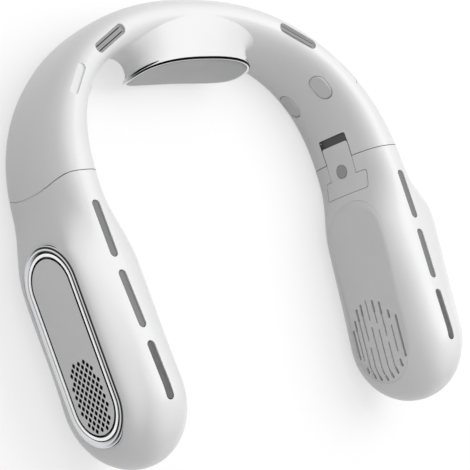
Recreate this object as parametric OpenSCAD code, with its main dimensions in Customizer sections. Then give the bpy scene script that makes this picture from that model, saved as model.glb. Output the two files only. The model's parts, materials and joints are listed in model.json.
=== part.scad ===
// Electric neck fan: a rigid band with a cooling head, two hinged arms, a blower in each arm.
// +Z is up, the fan lies on its flat lower edge, the band is towards +Y and the arms towards -Y.
// The origin is the middle of the footprint, on the surface that the fan lies on.
// Shapes are written for the right arm (+X); the left arm is its mirror image.

/* [Plan] */
// Half the distance between the two arm centrelines where the arms meet the band
half_span = 89; // [80:0.5:100]
// Distance from the widest point of the band back to its centreline
band_depth = 75; // [65:0.5:85]
// Squareness of the band in plan, 2 is an ellipse
plan_power = 2.25; // [2:0.05:2.6]
// Distance from the widest point of the band to the tip of an arm
arm_reach = 107.5; // [100:0.5:120]
// How far the tip of an arm leans in
toe_in = 6.5; // [2:0.5:9]

/* [Section] */
// Squareness of the tube section, 2 is an ellipse
section_power = 2.6; // [2.2:0.1:3]
// Thickness of the band at the back
back_thick = 16; // [14:0.5:20]
// Thickness of the band at its shoulders
shoulder_thick = 16.5; // [14:0.5:20]
// Thickness of the tube at the seam between band and arm
seam_thick = 23.5; // [22:0.5:26]
// Thickness of the arm where it swells, below the seam
swell_thick = 38; // [35:0.5:41]
// Thickness of the arm round its blower
arm_thick = 34.5; // [33:0.5:38]
// Distance from the widest point of the band to the swell
swell_at = 30; // [26:0.5:34]
// Length over which the swell settles to the blower's thickness
settle_len = 40; // [34:1:46]
// Length of the rounded tip of an arm
tip_len = 29; // [24:1:32]
// Height of the tube at the widest point of the band
seam_height = 44.5; // [42:0.5:48]
// Slope of the upper edge, which rises towards the tips
crest_slope = 0.11; // [0.08:0.01:0.13]
// Height taken off the lower edge to leave a flat strip
foot_flat = 0.6; // [0.5:0.1:1]
// Wall thickness of the shells
wall = 2.2; // [1.8:0.1:2.6]

/* [Cooling head] */
// Width of the cooling plate with its rim
plate_w = 66; // [60:1:70]
// Height of the cooling plate with its rim
plate_h = 28; // [24:1:29]
// Squareness of the plate's outline
plate_power = 2.9; // [2.2:0.1:3.2]
// Height of the middle of the plate
plate_z = 19; // [17.5:0.5:20]
// Distance from the band's centreline forward to the face of the plate
head_reach = 23.4; // [20:0.2:26]
// How far the ends of the plate come forward, to fit the neck
plate_dish = 1.4; // [0.5:0.1:2.5]
// How far the upper and lower edges of the plate fall back
plate_crown = 1.6; // [0.5:0.1:2.5]
// How far the upper edge falls back more than the lower edge does
plate_lean = 1.2; // [0:0.1:2]
// Width of the plated rim
rim_w = 1.5; // [1:0.1:2]
// Depth of the plated rim
rim_depth = 1.8; // [1.2:0.1:2.4]
// Thickness of the cooling plate
plate_thick = 1.6; // [1.2:0.1:2.2]

/* [Neck pads] */
// Length of each pad
pad_len = 12; // [10:0.5:14]
// Width of each pad
pad_w = 8; // [7:0.5:9]
// Plan angle of the upper pads
pad_high_turn = 34.2; // [32:0.2:36]
// Height of the upper pads
pad_high_z = 30; // [28:0.5:32]
// Plan angle of the lower pads
pad_low_turn = 32.3; // [30:0.2:36]
// Height of the lower pads
pad_low_z = 7.5; // [7:0.5:10]

/* [Hinge] */
// Distance from the widest point of the band back to the seam
seam_y = 7.4; // [7:0.1:8]
// Distance from the outer wall in to the hinge pin
pin_inset = 6.5; // [6.3:0.1:6.8]
// Radius of the hinge pin
pin_r = 1.5; // [1.2:0.1:1.7]
// Outer radius of the hinge knuckles
knuckle_r = 3.2; // [2.8:0.1:3.4]
// Height of the stack of knuckles
knuckle_h = 18; // [15:0.5:19]
// Height of each fixed knuckle
lug_h = 3.5; // [2.5:0.1:4]
// Gap between the band and an arm at the seam
seam_gap = 0.3; // [0.2:0.05:0.4]
// Radial clearance between pin and moving knuckle
pin_play = 0.05; // [0.02:0.01:0.1]
// Clearance between pieces that move past each other
clear = 0.3; // [0.2:0.05:0.4]

/* [Hinge leaf] */
// Height of the leaf's stem
stem_w = 16.4; // [15:0.2:18]
// Height of the leaf's crosspiece
leaf_w = 26; // [24:0.5:28]
// Length of the stem above the crosspiece
stem_len = 15.7; // [14.5:0.1:17]
// Length of the crosspiece along the arm
leaf_len = 8.6; // [7:0.2:10]
// Distance from the widest point of the band to the top of the crosspiece
leaf_drop = 0.8; // [0.4:0.1:1.4]
// Thickness of the leaf
leaf_thick = 1.2; // [1:0.1:1.4]
// Length of the recess past the end of the stem
leaf_travel = 3.6; // [3:0.1:5]
// Radius of the leaf's screw cover
leaf_plug_r = 3; // [2.5:0.1:3.2]
// Distance from the top of the crosspiece to the screw
leaf_plug_rise = 2.9; // [2.4:0.1:4]

/* [Vents] */
// Width of each slot along an arm
arm_slot_w = 3.7; // [3:0.1:4.5]
// Gap between slots along an arm
slot_gap = 5; // [4.5:0.5:7]
// Distance from the widest point of the band to the first arm slot
slot_start = 5; // [4:0.5:7]
// Distance from the tip of an arm to its last slot
slot_end = 22; // [20:0.5:24]
// Length of the slots on the shoulders of the band
back_slot_len = 21; // [18:0.5:22]
// Width of the slots on the shoulders of the band
back_slot_w = 4.6; // [3.5:0.1:5]
// Plan angle of the middle of the shoulder slots
back_slot_turn = 54.6; // [50:0.2:58]
// Plan angle of the middle of the pale slots
side_slot_turn = 33.1; // [30:0.1:36]
// How far the pale slots sit outside the centreline
side_slot_off = 2; // [1:0.1:3]
// Length of the pale slots beside them
side_slot_len = 16; // [14:0.5:17]
// Width of the pale slots
side_slot_w = 3.4; // [2.6:0.1:4]
// Depth of the grilles under the edge of their slots
slot_sink = 0.9; // [0.5:0.1:1.5]

/* [Outer panel] */
// Width of the panel with its trim
trim_w = 32.6; // [30:0.2:34]
// Distance from the widest point of the band to the trim
trim_start = 17; // [15:0.5:19]
// Distance from the tip of an arm to the trim
trim_end = 10.5; // [10:0.5:14]
// Height of the middle of the panel above the middle of the arm
panel_rise = 2; // [1:0.1:3]
// Angle of the panel to the length of the fan
panel_tilt = 5.7; // [4.5:0.1:6.5]
// Slope of the panel's length
panel_pitch = 2.6; // [2:0.1:3.5]
// Distance from the arm's centreline out to the face of the trim
panel_off = 17; // [16.5:0.1:18]
// Depth of the trim ring
trim_depth = 5.2; // [4.8:0.1:5.8]
// Width of the plated ring
ring_w = 1.7; // [1.4:0.1:2.4]
// Width of the white ring inside it
bezel_w = 1.6; // [1.4:0.1:2.4]
// Width of the dark line between the two rings
groove_w = 0.3; // [0.2:0.1:0.8]
// Width of the dark line round the panel
line_w = 0.5; // [0.2:0.1:0.8]
// Width of the housing that rises to the trim
rise_w = 6.5; // [5:0.5:7]
// Thickness of the panel
panel_thick = 1.6; // [1.2:0.1:2]
// Width across each hole of the panel
hole_w = 1.3; // [1:0.1:1.5]
// Length of the round cluster of holes
cluster_len = 29; // [22:1:30]
// Width of the round cluster of holes
cluster_w = 19; // [16:0.5:20]

/* [Inner cover] */
// Width of the inner cover
cover_w = 32.4; // [30:0.2:33]
// Distance from the widest point of the band to the cover
cover_start = 13; // [12:0.5:16]
// Distance from the tip of an arm to the cover
cover_end = 10.5; // [10:0.5:14]
// Height of the middle of the cover
cover_z = 24.8; // [24:0.2:26]
// Angle of the cover to the length of the fan
cover_tilt = 4; // [3:0.1:5]
// Thickness of the cover
cover_thick = 2.2; // [1.8:0.1:2.4]
// Distance from the arm's centreline to the face of the cover, at the blower
cover_off = 15.5; // [15:0.1:16]
// Width of each slit of the grille
slit_w = 1.4; // [1:0.1:1.8]
// Width of the fine slits in the middle of the grille
fine_slit_w = 0.8; // [0.6:0.1:1]
// Radius of the round grille
grille_r = 20; // [18:0.2:20]

/* [Blower] */
// Distance from the tip of an arm to the blower's axis
blower_inset = 28.5; // [27.5:0.5:30.5]
// Outer radius of the impeller
wheel_r = 14.5; // [13:0.5:15]
// Height of the impeller
wheel_h = 9; // [7:0.5:10]
// Number of blades
blade_n = 22; // [16:1:28]
// Thickness of a blade
blade_t = 0.7; // [0.5:0.1:1]
// Radius of the impeller's hub
hub_r = 8; // [7:0.5:9]
// Radius of the motor's shaft
shaft_r = 1; // [0.8:0.1:1.2]
// Smallest gap between the impeller and its casing
volute_gap = 1.2; // [1:0.1:2]
// How far the casing widens round one turn
volute_growth = 3.4; // [2.5:0.1:4]
// Wall of the casing
casing_wall = 1; // [0.8:0.1:1.2]
// Radius of the casing's inlet
inlet_r = 10.5; // [9.5:0.5:11]

/* [Inside] */
// Distance from the widest point of the band to the battery
battery_start = 22.5; // [21.5:0.5:26]
// Height of the battery
battery_w = 26; // [22:1:28]
// Thickness of the battery
battery_t = 11; // [8:0.5:12]
// Thickness of the circuit boards
board_t = 1.2; // [0.8:0.2:1.6]
// Width of the thermoelectric module
peltier_w = 30; // [24:1:34]
// Height of the thermoelectric module
peltier_h = 18; // [15:1:20]
// Thickness of the thermoelectric module
peltier_t = 3.4; // [3:0.1:4]
// Number of fins on the heat sink
fin_n = 11; // [7:1:13]
// Thickness of a fin
fin_t = 1; // [0.8:0.1:1.2]

/* [Controls] */
// Radius of each button
button_r = 4.6; // [4:0.1:5]
// Travel of each button
button_travel = 0.8; // [0.5:0.1:1]
// How far a button stands out of the panel
button_proud = 1; // [0.8:0.1:1.2]
// Width of the charging socket
socket_w = 9; // [8.9:0.1:9.1]
// Height of the charging socket
socket_t = 3.3; // [3.2:0.1:3.4]
// Depth of the charging socket
socket_len = 7.5; // [7:0.1:8]

/* [Hidden] */
$fn = 48;
arm_straight = arm_reach - tip_len;
y_mid = (arm_reach - band_depth - back_thick / 2) / 2;
lap_r = pin_inset + pin_r / 3;
pin_x = half_span + seam_thick / 2 - pin_inset;
pin_y = seam_y - seam_gap - lap_r;
hinge_z = seam_height / 2;
crest_tilt = atan(crest_slope);
reach_all = arm_reach * 2;
slack = clear / 3;
tip_end_share = 0.08;
rise_fade = 0.6;
head_steps = 32;
pad_proud = clear;
blower_at = arm_reach - blower_inset;
spiral_r = wheel_r + volute_gap;
spiral_reach = spiral_r + volute_growth + 2 * casing_wall;
battery_len = blower_at - spiral_reach - 1.5 * clear - battery_start;
cell_at = battery_start + battery_len / 2;
arm_slot_len = (arm_reach - slot_end - slot_start - 2 * slot_gap) / 3;
trim_len = arm_reach - trim_start - trim_end;
panel_at = trim_start + trim_len / 2;
cover_len = arm_reach - cover_start - cover_end;
cover_at = cover_start + cover_len / 2;
socket_at = cell_at + socket_w / 2;
cell_z = 1.8 * cover_thick;
corner_limit = 168;
band_corner = 135;
ring_steps = 18;
face_steps = 4;
blower_x = plan(-blower_at)[0] - cover_off;
blower_z = (height(-blower_at) - foot_flat) / 2;
panel_x = plan(-panel_at)[0] + panel_off;
panel_z = height(-panel_at) / 2 + panel_rise;
panel_z_axis = [cos(panel_tilt), -sin(panel_tilt), 0];
panel_y_axis = [sin(panel_tilt) * cos(panel_pitch), cos(panel_tilt) * cos(panel_pitch), -sin(panel_pitch)];
panel_x_axis = cross(panel_y_axis, panel_z_axis);
inner_trim_w = trim_w - 2 * ring_w;
inner_trim_len = trim_len - 2 * ring_w;
bezel_out_w = inner_trim_w - 2 * groove_w;
bezel_out_len = inner_trim_len - 2 * groove_w;
panel_w = bezel_out_w - 2 * bezel_w - 2 * line_w;
panel_len = bezel_out_len - 2 * bezel_w - 2 * line_w;
base_t = board_t;
button_room = panel_len - cluster_len - bezel_w;
button_span = 2 * (button_r + clear);
button_pitch = button_span + (button_room - 2 * button_span) / 3;
button_y = (panel_len - button_room) / 2;
post_x = button_r + 2 * pin_r;
casing_z = cover_thick * 2.7;
wheel_z = casing_z + casing_wall + volute_gap;
casing_h = wheel_h + 2 * volute_gap + 2 * casing_wall;
outlet_x0 = spiral_r * cos(80);
outlet_x1 = (spiral_r + volute_growth) * cos(20);
head_y = band_depth - head_reach;
module_y = head_y + plate_thick * 2.3;
sink_y = module_y + peltier_t;
sink_base = plate_thick * 1.2;
fin_depth = back_thick / 2;
moving_h = knuckle_h - 2 * lug_h - 2 * clear;
web_t = pin_r * 1.6;
flange_z = panel_thick + base_t;
switch_h = button_r / 2.3;
switch_z = flange_z + slack + lug_h / 3.5 + button_travel + clear;
board_z = switch_z + switch_h;
pocket_w = peltier_w * 1.3;
pocket_h = peltier_h + 2 * clear;
vent_t = wall * 0.6;
frame_t = wall / 4;
plug_u = asin(pow((leaf_plug_rise - leaf_drop) / band_depth, plan_power / 2));
head_r = leaf_plug_r * 0.63;

arm_station_share = [0, 0.08, 0.16, 0.24, 0.32, 0.41, 0.52, 0.64, 0.76, 0.88, 1];
tip_station_share = [0.25, 0.46, 0.64, 0.78, 0.89, 0.96, 0.99, 1];
band_station_share = [0, 0.045, 0.09, 0.14, 0.2, 0.27, 0.35, 0.44, 0.54, 0.65, 0.77, 0.89, 1];
boss_station_share = [0, 0.1, 0.25, 0.45, 0.65, 0.82, 0.93, 1];
boss_width_share = [0.985, 0.93, 0.885, 0.875, 0.9, 0.95, 1.0, 1.06];
boss_height_share = [0.985, 0.94, 0.9, 0.88, 0.87, 0.86, 0.85, 0.85];
plate_ring_share = [0, 0.4, 0.72, 0.92, 1];
// Slits of the grille: for each column its place, then runs from and to, and whether the run is fine
slit_shares = [
  [-0.65, [[-0.47, 0.5, 0]]],
  [-0.465, [[-0.65, -0.455, 0], [-0.305, 0.32, 1], [0.465, 0.67, 0]]],
  [-0.265, [[-0.765, -0.6, 0], [-0.605, -0.02, 1], [0.115, 0.6, 1], [0.595, 0.91, 0]]],
  [-0.075, [[-0.82, -0.67, 0], [-0.675, 0.32, 1], [0.455, 0.7, 1], [0.695, 1, 0]]],
  [0.115, [[-0.84, -0.69, 0], [-0.695, 0.425, 1], [0.57, 1.05, 1]]],
  [0.295, [[-0.79, -0.64, 0], [-0.645, -0.01, 1], [0.13, 0.705, 1], [0.7, 1, 0]]],
  [0.445, [[-0.71, -0.53, 0], [-0.535, 0.625, 1], [0.62, 0.93, 0]]],
  [0.575, [[-0.55, -0.395, 0], [-0.25, 0.43, 1], [0.425, 0.7, 0]]],
  [0.685, [[-0.2, 0.5, 0]]]
];
// Holes of the cluster: how far each row reaches, in steps
hole_rows = [2, 3, 4, 3, 4, 5, 4, 5, 4, 5, 4, 5, 4, 3, 4, 3, 2];

// Smooth step from 0 to 1
function smooth(x) = let (c = max(0, min(1, x))) c * c * (3 - 2 * c);
function spow(x, p) = sign(x) * pow(abs(x), p);
function turn(from, to, s) = from + (to - from) * s;

// Centreline in plan: a negative station is a distance along the arm, a positive one an angle of the band
function plan(u) = u < 0
  ? [half_span - toe_in * smooth(-u / arm_reach), u]
  : [half_span * spow(cos(u), 2 / plan_power), band_depth * spow(sin(u), 2 / plan_power)];
function along(u) = let (h = 0.5, t = plan(u + h) - plan(u - h)) t / norm(t);
function outward(u) = let (t = along(u)) [t[1], -t[0]];
function heading(u) = let (n = outward(u)) atan2(n[1], n[0]);
function height(u) = seam_height - crest_slope * plan(u)[1];
function band_thick(k) = k < 0.5
  ? turn(back_thick, shoulder_thick, smooth(2 * k))
  : turn(shoulder_thick, seam_thick, smooth(2 * k - 1));
function arm_thickness(q) = q < swell_at
  ? turn(seam_thick, swell_thick, smooth(q / swell_at))
  : turn(swell_thick, arm_thick, smooth((q - swell_at) / settle_len));
function thick(u) = u < 0 ? arm_thickness(-u) : band_thick(abs(u - 90) / 90);

// Section at a station, d is the depth below the outer surface
function tip_scale(u, d) = -u <= arm_straight
  ? 1
  : sqrt(max(tip_end_share * tip_end_share, 1 - pow((-u - arm_straight) / (tip_len - d), 2)));
function half_w(u, d) = (thick(u) / 2 - d) * tip_scale(u, d);
function half_h(u, d) = ((height(u) + foot_flat) / 2 - d) * tip_scale(u, d);
function mid_z(u) = (height(u) - foot_flat) / 2;
function face_dist(u, d) = let (c = plan(u), n = outward(u), k = tan(cover_tilt))
  (c[0] - blower_x - k * (c[1] + blower_at) - d / cos(cover_tilt)) / (n[0] - k * n[1]);
function inner_limit(u, d) = u < 0 ? min(half_w(u, d), face_dist(u, d)) : half_w(u, d);
function corner(u, d) = let (r = min(1, inner_limit(u, d) / half_w(u, d)))
  min(corner_limit, 180 - acos(pow(r, section_power / 2)));
function skin_off(u, d, t) = max(-inner_limit(u, d), half_w(u, d) * spow(cos(t), 2 / section_power));
function skin_z(u, d, t) = max(d, mid_z(u) + half_h(u, d) * spow(sin(t), 2 / section_power));
function skin_point(u, d, t) = let (c = plan(u), n = outward(u), o = skin_off(u, d, t),
  p = [c[0] + n[0] * o, c[1] + n[1] * o, skin_z(u, d, t)])
  u < 0 && cos(t) > 0 ? p + panel_z_axis * side_lift(u, d, panel_place(p)) * smooth(cos(t) * 2) : p;

// Place of a point on the outer panel's plane, and how far the side of the arm is raised there to meet the trim
function panel_place(p) = let (r = p - [panel_x, -panel_at, panel_z]) [r * panel_x_axis, r * panel_y_axis, r * panel_z_axis];
function side_depth(u) = let (c = plan(u), n = outward(u), o = half_w(u, 0))
  min(-slack, panel_place([c[0] + n[0] * o, c[1] + n[1] * o, mid_z(u)])[2]);
function trim_gap(q) = let (e = (trim_len - trim_w) / 2)
  norm([q[0], max(0, (q[1] - e) * rise_fade, -q[1] - e)]) - trim_w / 2;
function side_lift(u, d, q) = max(0, side_depth(u) - d - q[2]) * smooth(1 - trim_gap(q) / rise_w)
  * smooth((rise_w - q[0]) / (2 * rise_w)) * smooth(-u / trim_start);
function fan(from, to, n) = [for (i = [0:n]) turn(from, to, i / n)];
function full_turn(u, d) = let (c = corner(u, d))
  concat(fan(-c, c, ring_steps), [for (i = [1:face_steps - 1]) turn(c, 360 - c, i / face_steps)]);
function ring(u, d, angles) = [for (t = angles) skin_point(u, d, t)];

// Stations from the band to the tip, at one depth
function arm_stations(d) = concat([6, 3],
  [for (s = arm_station_share) -max(slack, s * arm_straight)],
  [for (s = tip_station_share) -(arm_straight + s * (tip_len - d))]);
band_stations = concat([for (s = band_station_share) 180 - 90 * s],
  [for (i = [len(band_station_share) - 2:-1:0]) 90 * band_station_share[i]]);

// Triangles between two rings of n points that start at a and b
function strip(a, b, n) = [for (i = [0:n - 1]) let (j = (i + 1) % n)
  each [[a + i, b + i, a + j], [a + j, b + i, b + j]]];
function cap(a, n) = [[for (i = [0:n - 1]) a + i]];
function back_cap(a, n) = [[for (i = [n - 1:-1:0]) a + i]];

// Solid through a list of closed rings
module loft(rings) {
  n = len(rings[0]);
  m = len(rings);
  polyhedron(points = [for (r = rings) each r],
    faces = concat(cap(0, n), [for (k = [0:m - 2]) each strip(k * n, (k + 1) * n, n)], back_cap((m - 1) * n, n)),
    convexity = 6);
}

// Part of the tube's skin between two depths and two section angles
module skin(stations, a0, a1, n, d0, d1) {
  loft([for (u = stations) concat(ring(u, d0, fan(a0, a1, n)), ring(u, d1, fan(a1, a0, n)))]);
}

// Hollow arm, closed at its tip and open towards the band
module pod() {
  outer = [for (u = arm_stations(0)) ring(u, 0, full_turn(u, 0))];
  inner = [for (u = arm_stations(wall)) ring(u, wall, full_turn(u, wall))];
  n = len(outer[0]);
  m = len(outer);
  q = n * m;
  polyhedron(points = concat([for (r = outer) each r], [for (r = inner) each r]),
    faces = concat([for (k = [0:m - 2]) each strip(k * n, (k + 1) * n, n)], back_cap((m - 1) * n, n),
      [for (k = [0:m - 2]) each strip(q + (k + 1) * n, q + k * n, n)], cap(q + (m - 1) * n, n),
      strip(q, 0, n)),
    convexity = 6);
}

// Flat outlines
module stadium(w, l) {
  square([w, l - w], center = true);
  translate([0, (l - w) / 2]) circle(d = w);
  translate([0, (w - l) / 2]) circle(d = w);
}
module rounded(w, l, r) {
  square([w - 2 * r, l], center = true);
  square([w, l - 2 * r], center = true);
  for (x = [-1, 1], y = [-1, 1]) translate([x * (w / 2 - r), y * (l / 2 - r)]) circle(r = r);
}
module prism(from, to) {
  translate([0, 0, from]) linear_extrude(height = to - from) children();
}

// Places: on the upper edge, on the inner wall, on the cover, on the outer panel, on the blower's axis
module on_crest(u, off) {
  c = plan(u);
  n = outward(u);
  translate([c[0] + n[0] * off, c[1] + n[1] * off, height(u)])
    rotate([-crest_tilt, 0, 0]) rotate([0, 0, heading(u)]) children();
}
module on_inner_wall(u, z) {
  zr = (z - mid_z(u)) / half_h(u, 0);
  xr = pow(1 - pow(abs(zr), section_power), 1 / section_power);
  off = -half_w(u, 0) * xr;
  gx = -pow(xr, section_power - 1) / half_w(u, 0);
  gz = spow(zr, section_power - 1) / half_h(u, 0);
  c = plan(u);
  n = outward(u);
  translate([c[0] + n[0] * off, c[1] + n[1] * off, z])
    rotate([0, 0, heading(u)]) rotate([0, atan2(gx, gz), 0]) children();
}
module at_cover(s, z) {
  translate([blower_x + tan(cover_tilt) * (blower_at - s), -s, z])
    rotate([0, 0, -cover_tilt]) rotate([0, 90, 0]) children();
}
module at_panel() {
  translate([panel_x, -panel_at, panel_z])
    rotate([0, 0, -panel_tilt]) rotate([0, 90, 0]) rotate([0, 0, -panel_pitch]) children();
}
module at_blower() {
  translate([blower_x, -blower_at, blower_z])
    rotate([0, 0, -cover_tilt]) rotate([0, 90, 0]) children();
}
module part_frame() {
  translate([0, y_mid, 0]) children();
}
module other_side() {
  mirror([1, 0, 0]) children();
}

// Arm side of the seam, round the hinge pin towards the outside
module arm_side(g) {
  translate([0, 0, -1]) linear_extrude(height = reach_all) {
    translate([pin_x, pin_y]) circle(r = lap_r + g);
    translate([pin_x - arm_reach, pin_y + lap_r + g - reach_all]) square([arm_reach, reach_all]);
    translate([pin_x - slack, pin_y - reach_all]) square([arm_reach, reach_all]);
  }
}

// T-shaped outline of the hinge leaf, on the inner wall
module leaf_outline(g, extra) {
  stem_z = hinge_z - leaf_drop;
  top_y = stem_len - leaf_drop + extra;
  translate([0, 0, 0]) rotate([90, 0, 90]) linear_extrude(height = pin_x) {
    translate([(top_y - leaf_drop) / 2 - leaf_len / 4, stem_z])
      rounded(top_y + leaf_drop + leaf_len / 2 + 2 * g, stem_w + 2 * g, 1);
    translate([-leaf_drop - leaf_len / 2, hinge_z]) rounded(leaf_len + 2 * g, leaf_w + 2 * g, 1);
  }
}
module leaf_skin(from, to) {
  skin([13, 10, 7, 4, 1.5, -1, -4, -7, -11], 140, 220, 8, from, to);
}

// Slots that follow the band, and the straight ones along the arms
function bend_r(u) = let (a = plan(u - 6), b = plan(u), c = plan(u + 6), p = norm(b - a), q = norm(c - b), r = norm(c - a),
  k = abs((b[0] - a[0]) * (c[1] - a[1]) - (b[1] - a[1]) * (c[0] - a[0])) / 2) p * q * r / (4 * k);
module bow(u, w, l, from, to) {
  r = bend_r(u);
  a = 180 * (l - w) / (PI * r);
  on_crest(u, 0) translate([-r, 0, from]) {
    rotate([0, 0, -a / 2]) rotate_extrude(angle = a) translate([r - w / 2, 0]) square([w, to - from]);
    for (e = [-1, 1]) rotate([0, 0, e * a / 2]) translate([r, 0, 0]) cylinder(d = w, h = to - from);
  }
}
function slot_u(k) = -(slot_start + arm_slot_len / 2 + k * (arm_slot_len + slot_gap));
module shoulder_cut() {
  bow(back_slot_turn, back_slot_w, back_slot_len, -2 * wall, wall);
  on_crest(side_slot_turn, side_slot_off) prism(-2 * wall, wall) stadium(side_slot_w, side_slot_len);
}
module pads(from, to, g) {
  on_inner_wall(pad_high_turn, pad_high_z) prism(from, to) stadium(pad_w + 2 * g, pad_len + 2 * g);
  on_inner_wall(pad_low_turn, pad_low_z) prism(from, to) stadium(pad_w + 2 * g, pad_len + 2 * g);
}

// Face of the cooling plate, and the band's inner wall behind it
function face_y(x, z) = let (p = 2 * x / plate_w, q = 2 * (z - plate_z) / plate_h)
  head_y - plate_dish * p * p + plate_crown * q * q + plate_lean * q;
function wall_y(x, z) = let (q = min(0.97, abs(z - mid_z(90)) / half_h(90, 0)),
  h = back_thick / 2 * pow(1 - pow(q, section_power), 1 / section_power) - wall / 2)
  (band_depth - h) * pow(1 - pow(abs(x) / (half_span - h), plan_power), 1 / plan_power);
function head_point(a, w, h) = [w / 2 * spow(cos(a), 2 / plate_power), plate_z + h / 2 * spow(sin(a), 2 / plate_power)];
function head_ring(w, h, s, depth) = [for (i = [0:head_steps - 1]) let (p = head_point(360 * i / head_steps, w, h),
  f = face_y(p[0], p[1]) + depth) [p[0], turn(f, max(f, wall_y(p[0], p[1])), s), p[1]]];

module boss() {
  n = len(boss_station_share) - 1;
  loft([for (i = [n:-1:0])
    head_ring(plate_w * boss_width_share[i], plate_h * boss_height_share[i], boss_station_share[i], rim_depth)]);
}
module at_leaf_screw() {
  on_inner_wall(plug_u, hinge_z - leaf_drop) children();
}
module at_pin(z) {
  translate([pin_x, pin_y, z]) children();
}
stack_z = hinge_z - knuckle_h / 2;

module outer_wall_cuts() {
  arm_side(seam_gap);
  shoulder_cut();
  pads(-wall / 2, wall, slack);
}
module band_outer_shell() {
  color("white") part_frame() difference() {
    skin(band_stations, -band_corner, band_corner, ring_steps - 2, 0, wall);
    outer_wall_cuts();
    other_side() outer_wall_cuts();
  }
}
module inner_wall_cuts() {
  arm_side(seam_gap);
  pads(-wall / 2, wall, slack);
  intersection() {
    leaf_skin(-1, leaf_thick + clear);
    leaf_outline(clear, leaf_travel);
  }
}
module band_inner_shell() {
  color("white") part_frame() difference() {
    union() {
      skin(band_stations, band_corner, 360 - band_corner, 6, 0, wall);
      boss();
    }
    translate([0, head_y, plate_z]) rotate([-90, 0, 0]) prism(0, head_reach) rounded(pocket_w, pocket_h, 3);
    inner_wall_cuts();
    other_side() inner_wall_cuts();
  }
}
module cooling_rim() {
  outer = head_ring(plate_w, plate_h, 0, 0);
  inner = head_ring(plate_w - 2 * rim_w, plate_h - 2 * rim_w, 0, 0);
  n = 4;
  back = [0, rim_depth, 0];
  color("silver") part_frame() polyhedron(
    points = [for (i = [0:head_steps - 1]) each [outer[i], outer[i] + back, inner[i] + back, inner[i]]],
    faces = [for (i = [0:head_steps - 1]) each strip(i * n, ((i + 1) % head_steps) * n, n)], convexity = 4);
}
module cooling_plate() {
  m = len(plate_ring_share);
  w = plate_w - 2 * rim_w;
  h = plate_h - 2 * rim_w;
  shares = [for (s = plate_ring_share) max(s, tip_end_share)];
  color("darkgray") part_frame() {
    loft(concat([for (i = [0:m - 1]) head_ring(w * shares[i], h * shares[i], 0, plate_thick)],
      [for (i = [m - 1:-1:0]) head_ring(w * shares[i], h * shares[i], 0, 0)]));
    translate([-peltier_w / 2, head_y + plate_thick * 0.9, plate_z - peltier_h / 2])
      cube([peltier_w, plate_thick * 1.4, peltier_h]);
  }
}
module peltier_module() {
  color("gainsboro") part_frame() translate([-peltier_w / 2, module_y, plate_z - peltier_h / 2])
    cube([peltier_w, peltier_t, peltier_h]);
}
module heat_sink() {
  w = peltier_w * 1.15;
  h = peltier_h;
  color("silver") part_frame() translate([-w / 2, sink_y, plate_z - h / 2]) {
    cube([w, sink_base, h]);
    for (i = [0:fin_n - 1]) translate([i * (w - fin_t) / (fin_n - 1), sink_base - slack, 0]) cube([fin_t, fin_depth, h]);
  }
}
module right_shoulder_vent() {
  color("dimgray") part_frame() {
    difference() {
      bow(back_slot_turn, back_slot_w, back_slot_len, -slot_sink - vent_t, -slot_sink);
      bow(back_slot_turn, back_slot_w - 2 * frame_t, back_slot_len - 2 * frame_t, -slot_sink - 2 * vent_t, 0);
    }
    bow(back_slot_turn, frame_t * 1.4, back_slot_len - frame_t, -slot_sink - vent_t, -slot_sink - slack);
  }
}
module left_shoulder_vent() {
  other_side() right_shoulder_vent();
}
module right_side_vent() {
  color("whitesmoke") part_frame() on_crest(side_slot_turn, side_slot_off)
    prism(-slot_sink - vent_t, -slot_sink) stadium(side_slot_w, side_slot_len);
}
module left_side_vent() {
  other_side() right_side_vent();
}
module neck_pads() {
  color("white") part_frame() {
    pads(-wall / 2, pad_proud, 0);
    other_side() pads(-wall / 2, pad_proud, 0);
  }
}
module hinge_pins() {
  color("silver") part_frame() {
    at_pin(stack_z) cylinder(r = pin_r, h = knuckle_h);
    other_side() at_pin(stack_z) cylinder(r = pin_r, h = knuckle_h);
  }
}
module right_hinge_bracket() {
  start = lap_r + 2 * seam_gap + clear;
  foot_u = 12;
  f = plan(foot_u);
  color("silver") part_frame() difference() {
    union() {
      for (z = [0, knuckle_h - lug_h]) at_pin(stack_z + z) {
        cylinder(r = knuckle_r, h = lug_h);
        translate([-web_t / 2, 0, 0]) cube([web_t, start + web_t, lug_h]);
      }
      at_pin(stack_z) translate([-web_t / 2, start, 0]) cube([web_t, f[1] - pin_y - start, knuckle_h]);
      translate([f[0], f[1], stack_z]) rotate([0, 0, heading(foot_u)])
        translate([web_t, -web_t, 0]) cube([half_w(foot_u, wall) - web_t - 2 * clear, web_t, knuckle_h]);
    }
    at_pin(0) cylinder(r = pin_r, h = reach_all);
  }
}
module left_hinge_bracket() {
  other_side() right_hinge_bracket();
}

module cover_prism(from, to) {
  at_cover(cover_at, cover_z) prism(from, to) stadium(cover_w, cover_len);
}
module arm_slot(k, from, to) {
  on_crest(slot_u(k), 0) prism(from, to) stadium(arm_slot_w, arm_slot_len);
}
module leaf_screw_cut(depth) {
  at_leaf_screw() {
    prism(-depth, wall) circle(r = shaft_r);
    prism(-leaf_thick, wall) circle(r = head_r);
  }
}
module arm_shell() {
  intersection() {
    difference() {
      pod();
      cover_prism(-wall, 3.6 * wall);
      at_panel() prism(-trim_depth, trim_depth) stadium(trim_w, trim_len);
      for (k = [0:2]) arm_slot(k, -2 * wall, wall);
      intersection() {
        leaf_skin(-1, leaf_thick);
        leaf_outline(0, 0);
      }
      leaf_screw_cut(2 * wall);
    }
    arm_side(0);
  }
}
module at_socket() {
  c = plan(-socket_at);
  translate([c[0], c[1], 0]) rotate([0, 0, heading(-socket_at)]) children();
}
module right_arm_housing() {
  color("white") part_frame() difference() {
    arm_shell();
    at_socket() prism(-wall, 2 * wall) stadium(socket_t, socket_w);
  }
}
module left_arm_housing() {
  color("white") other_side() part_frame() arm_shell();
}
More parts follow.
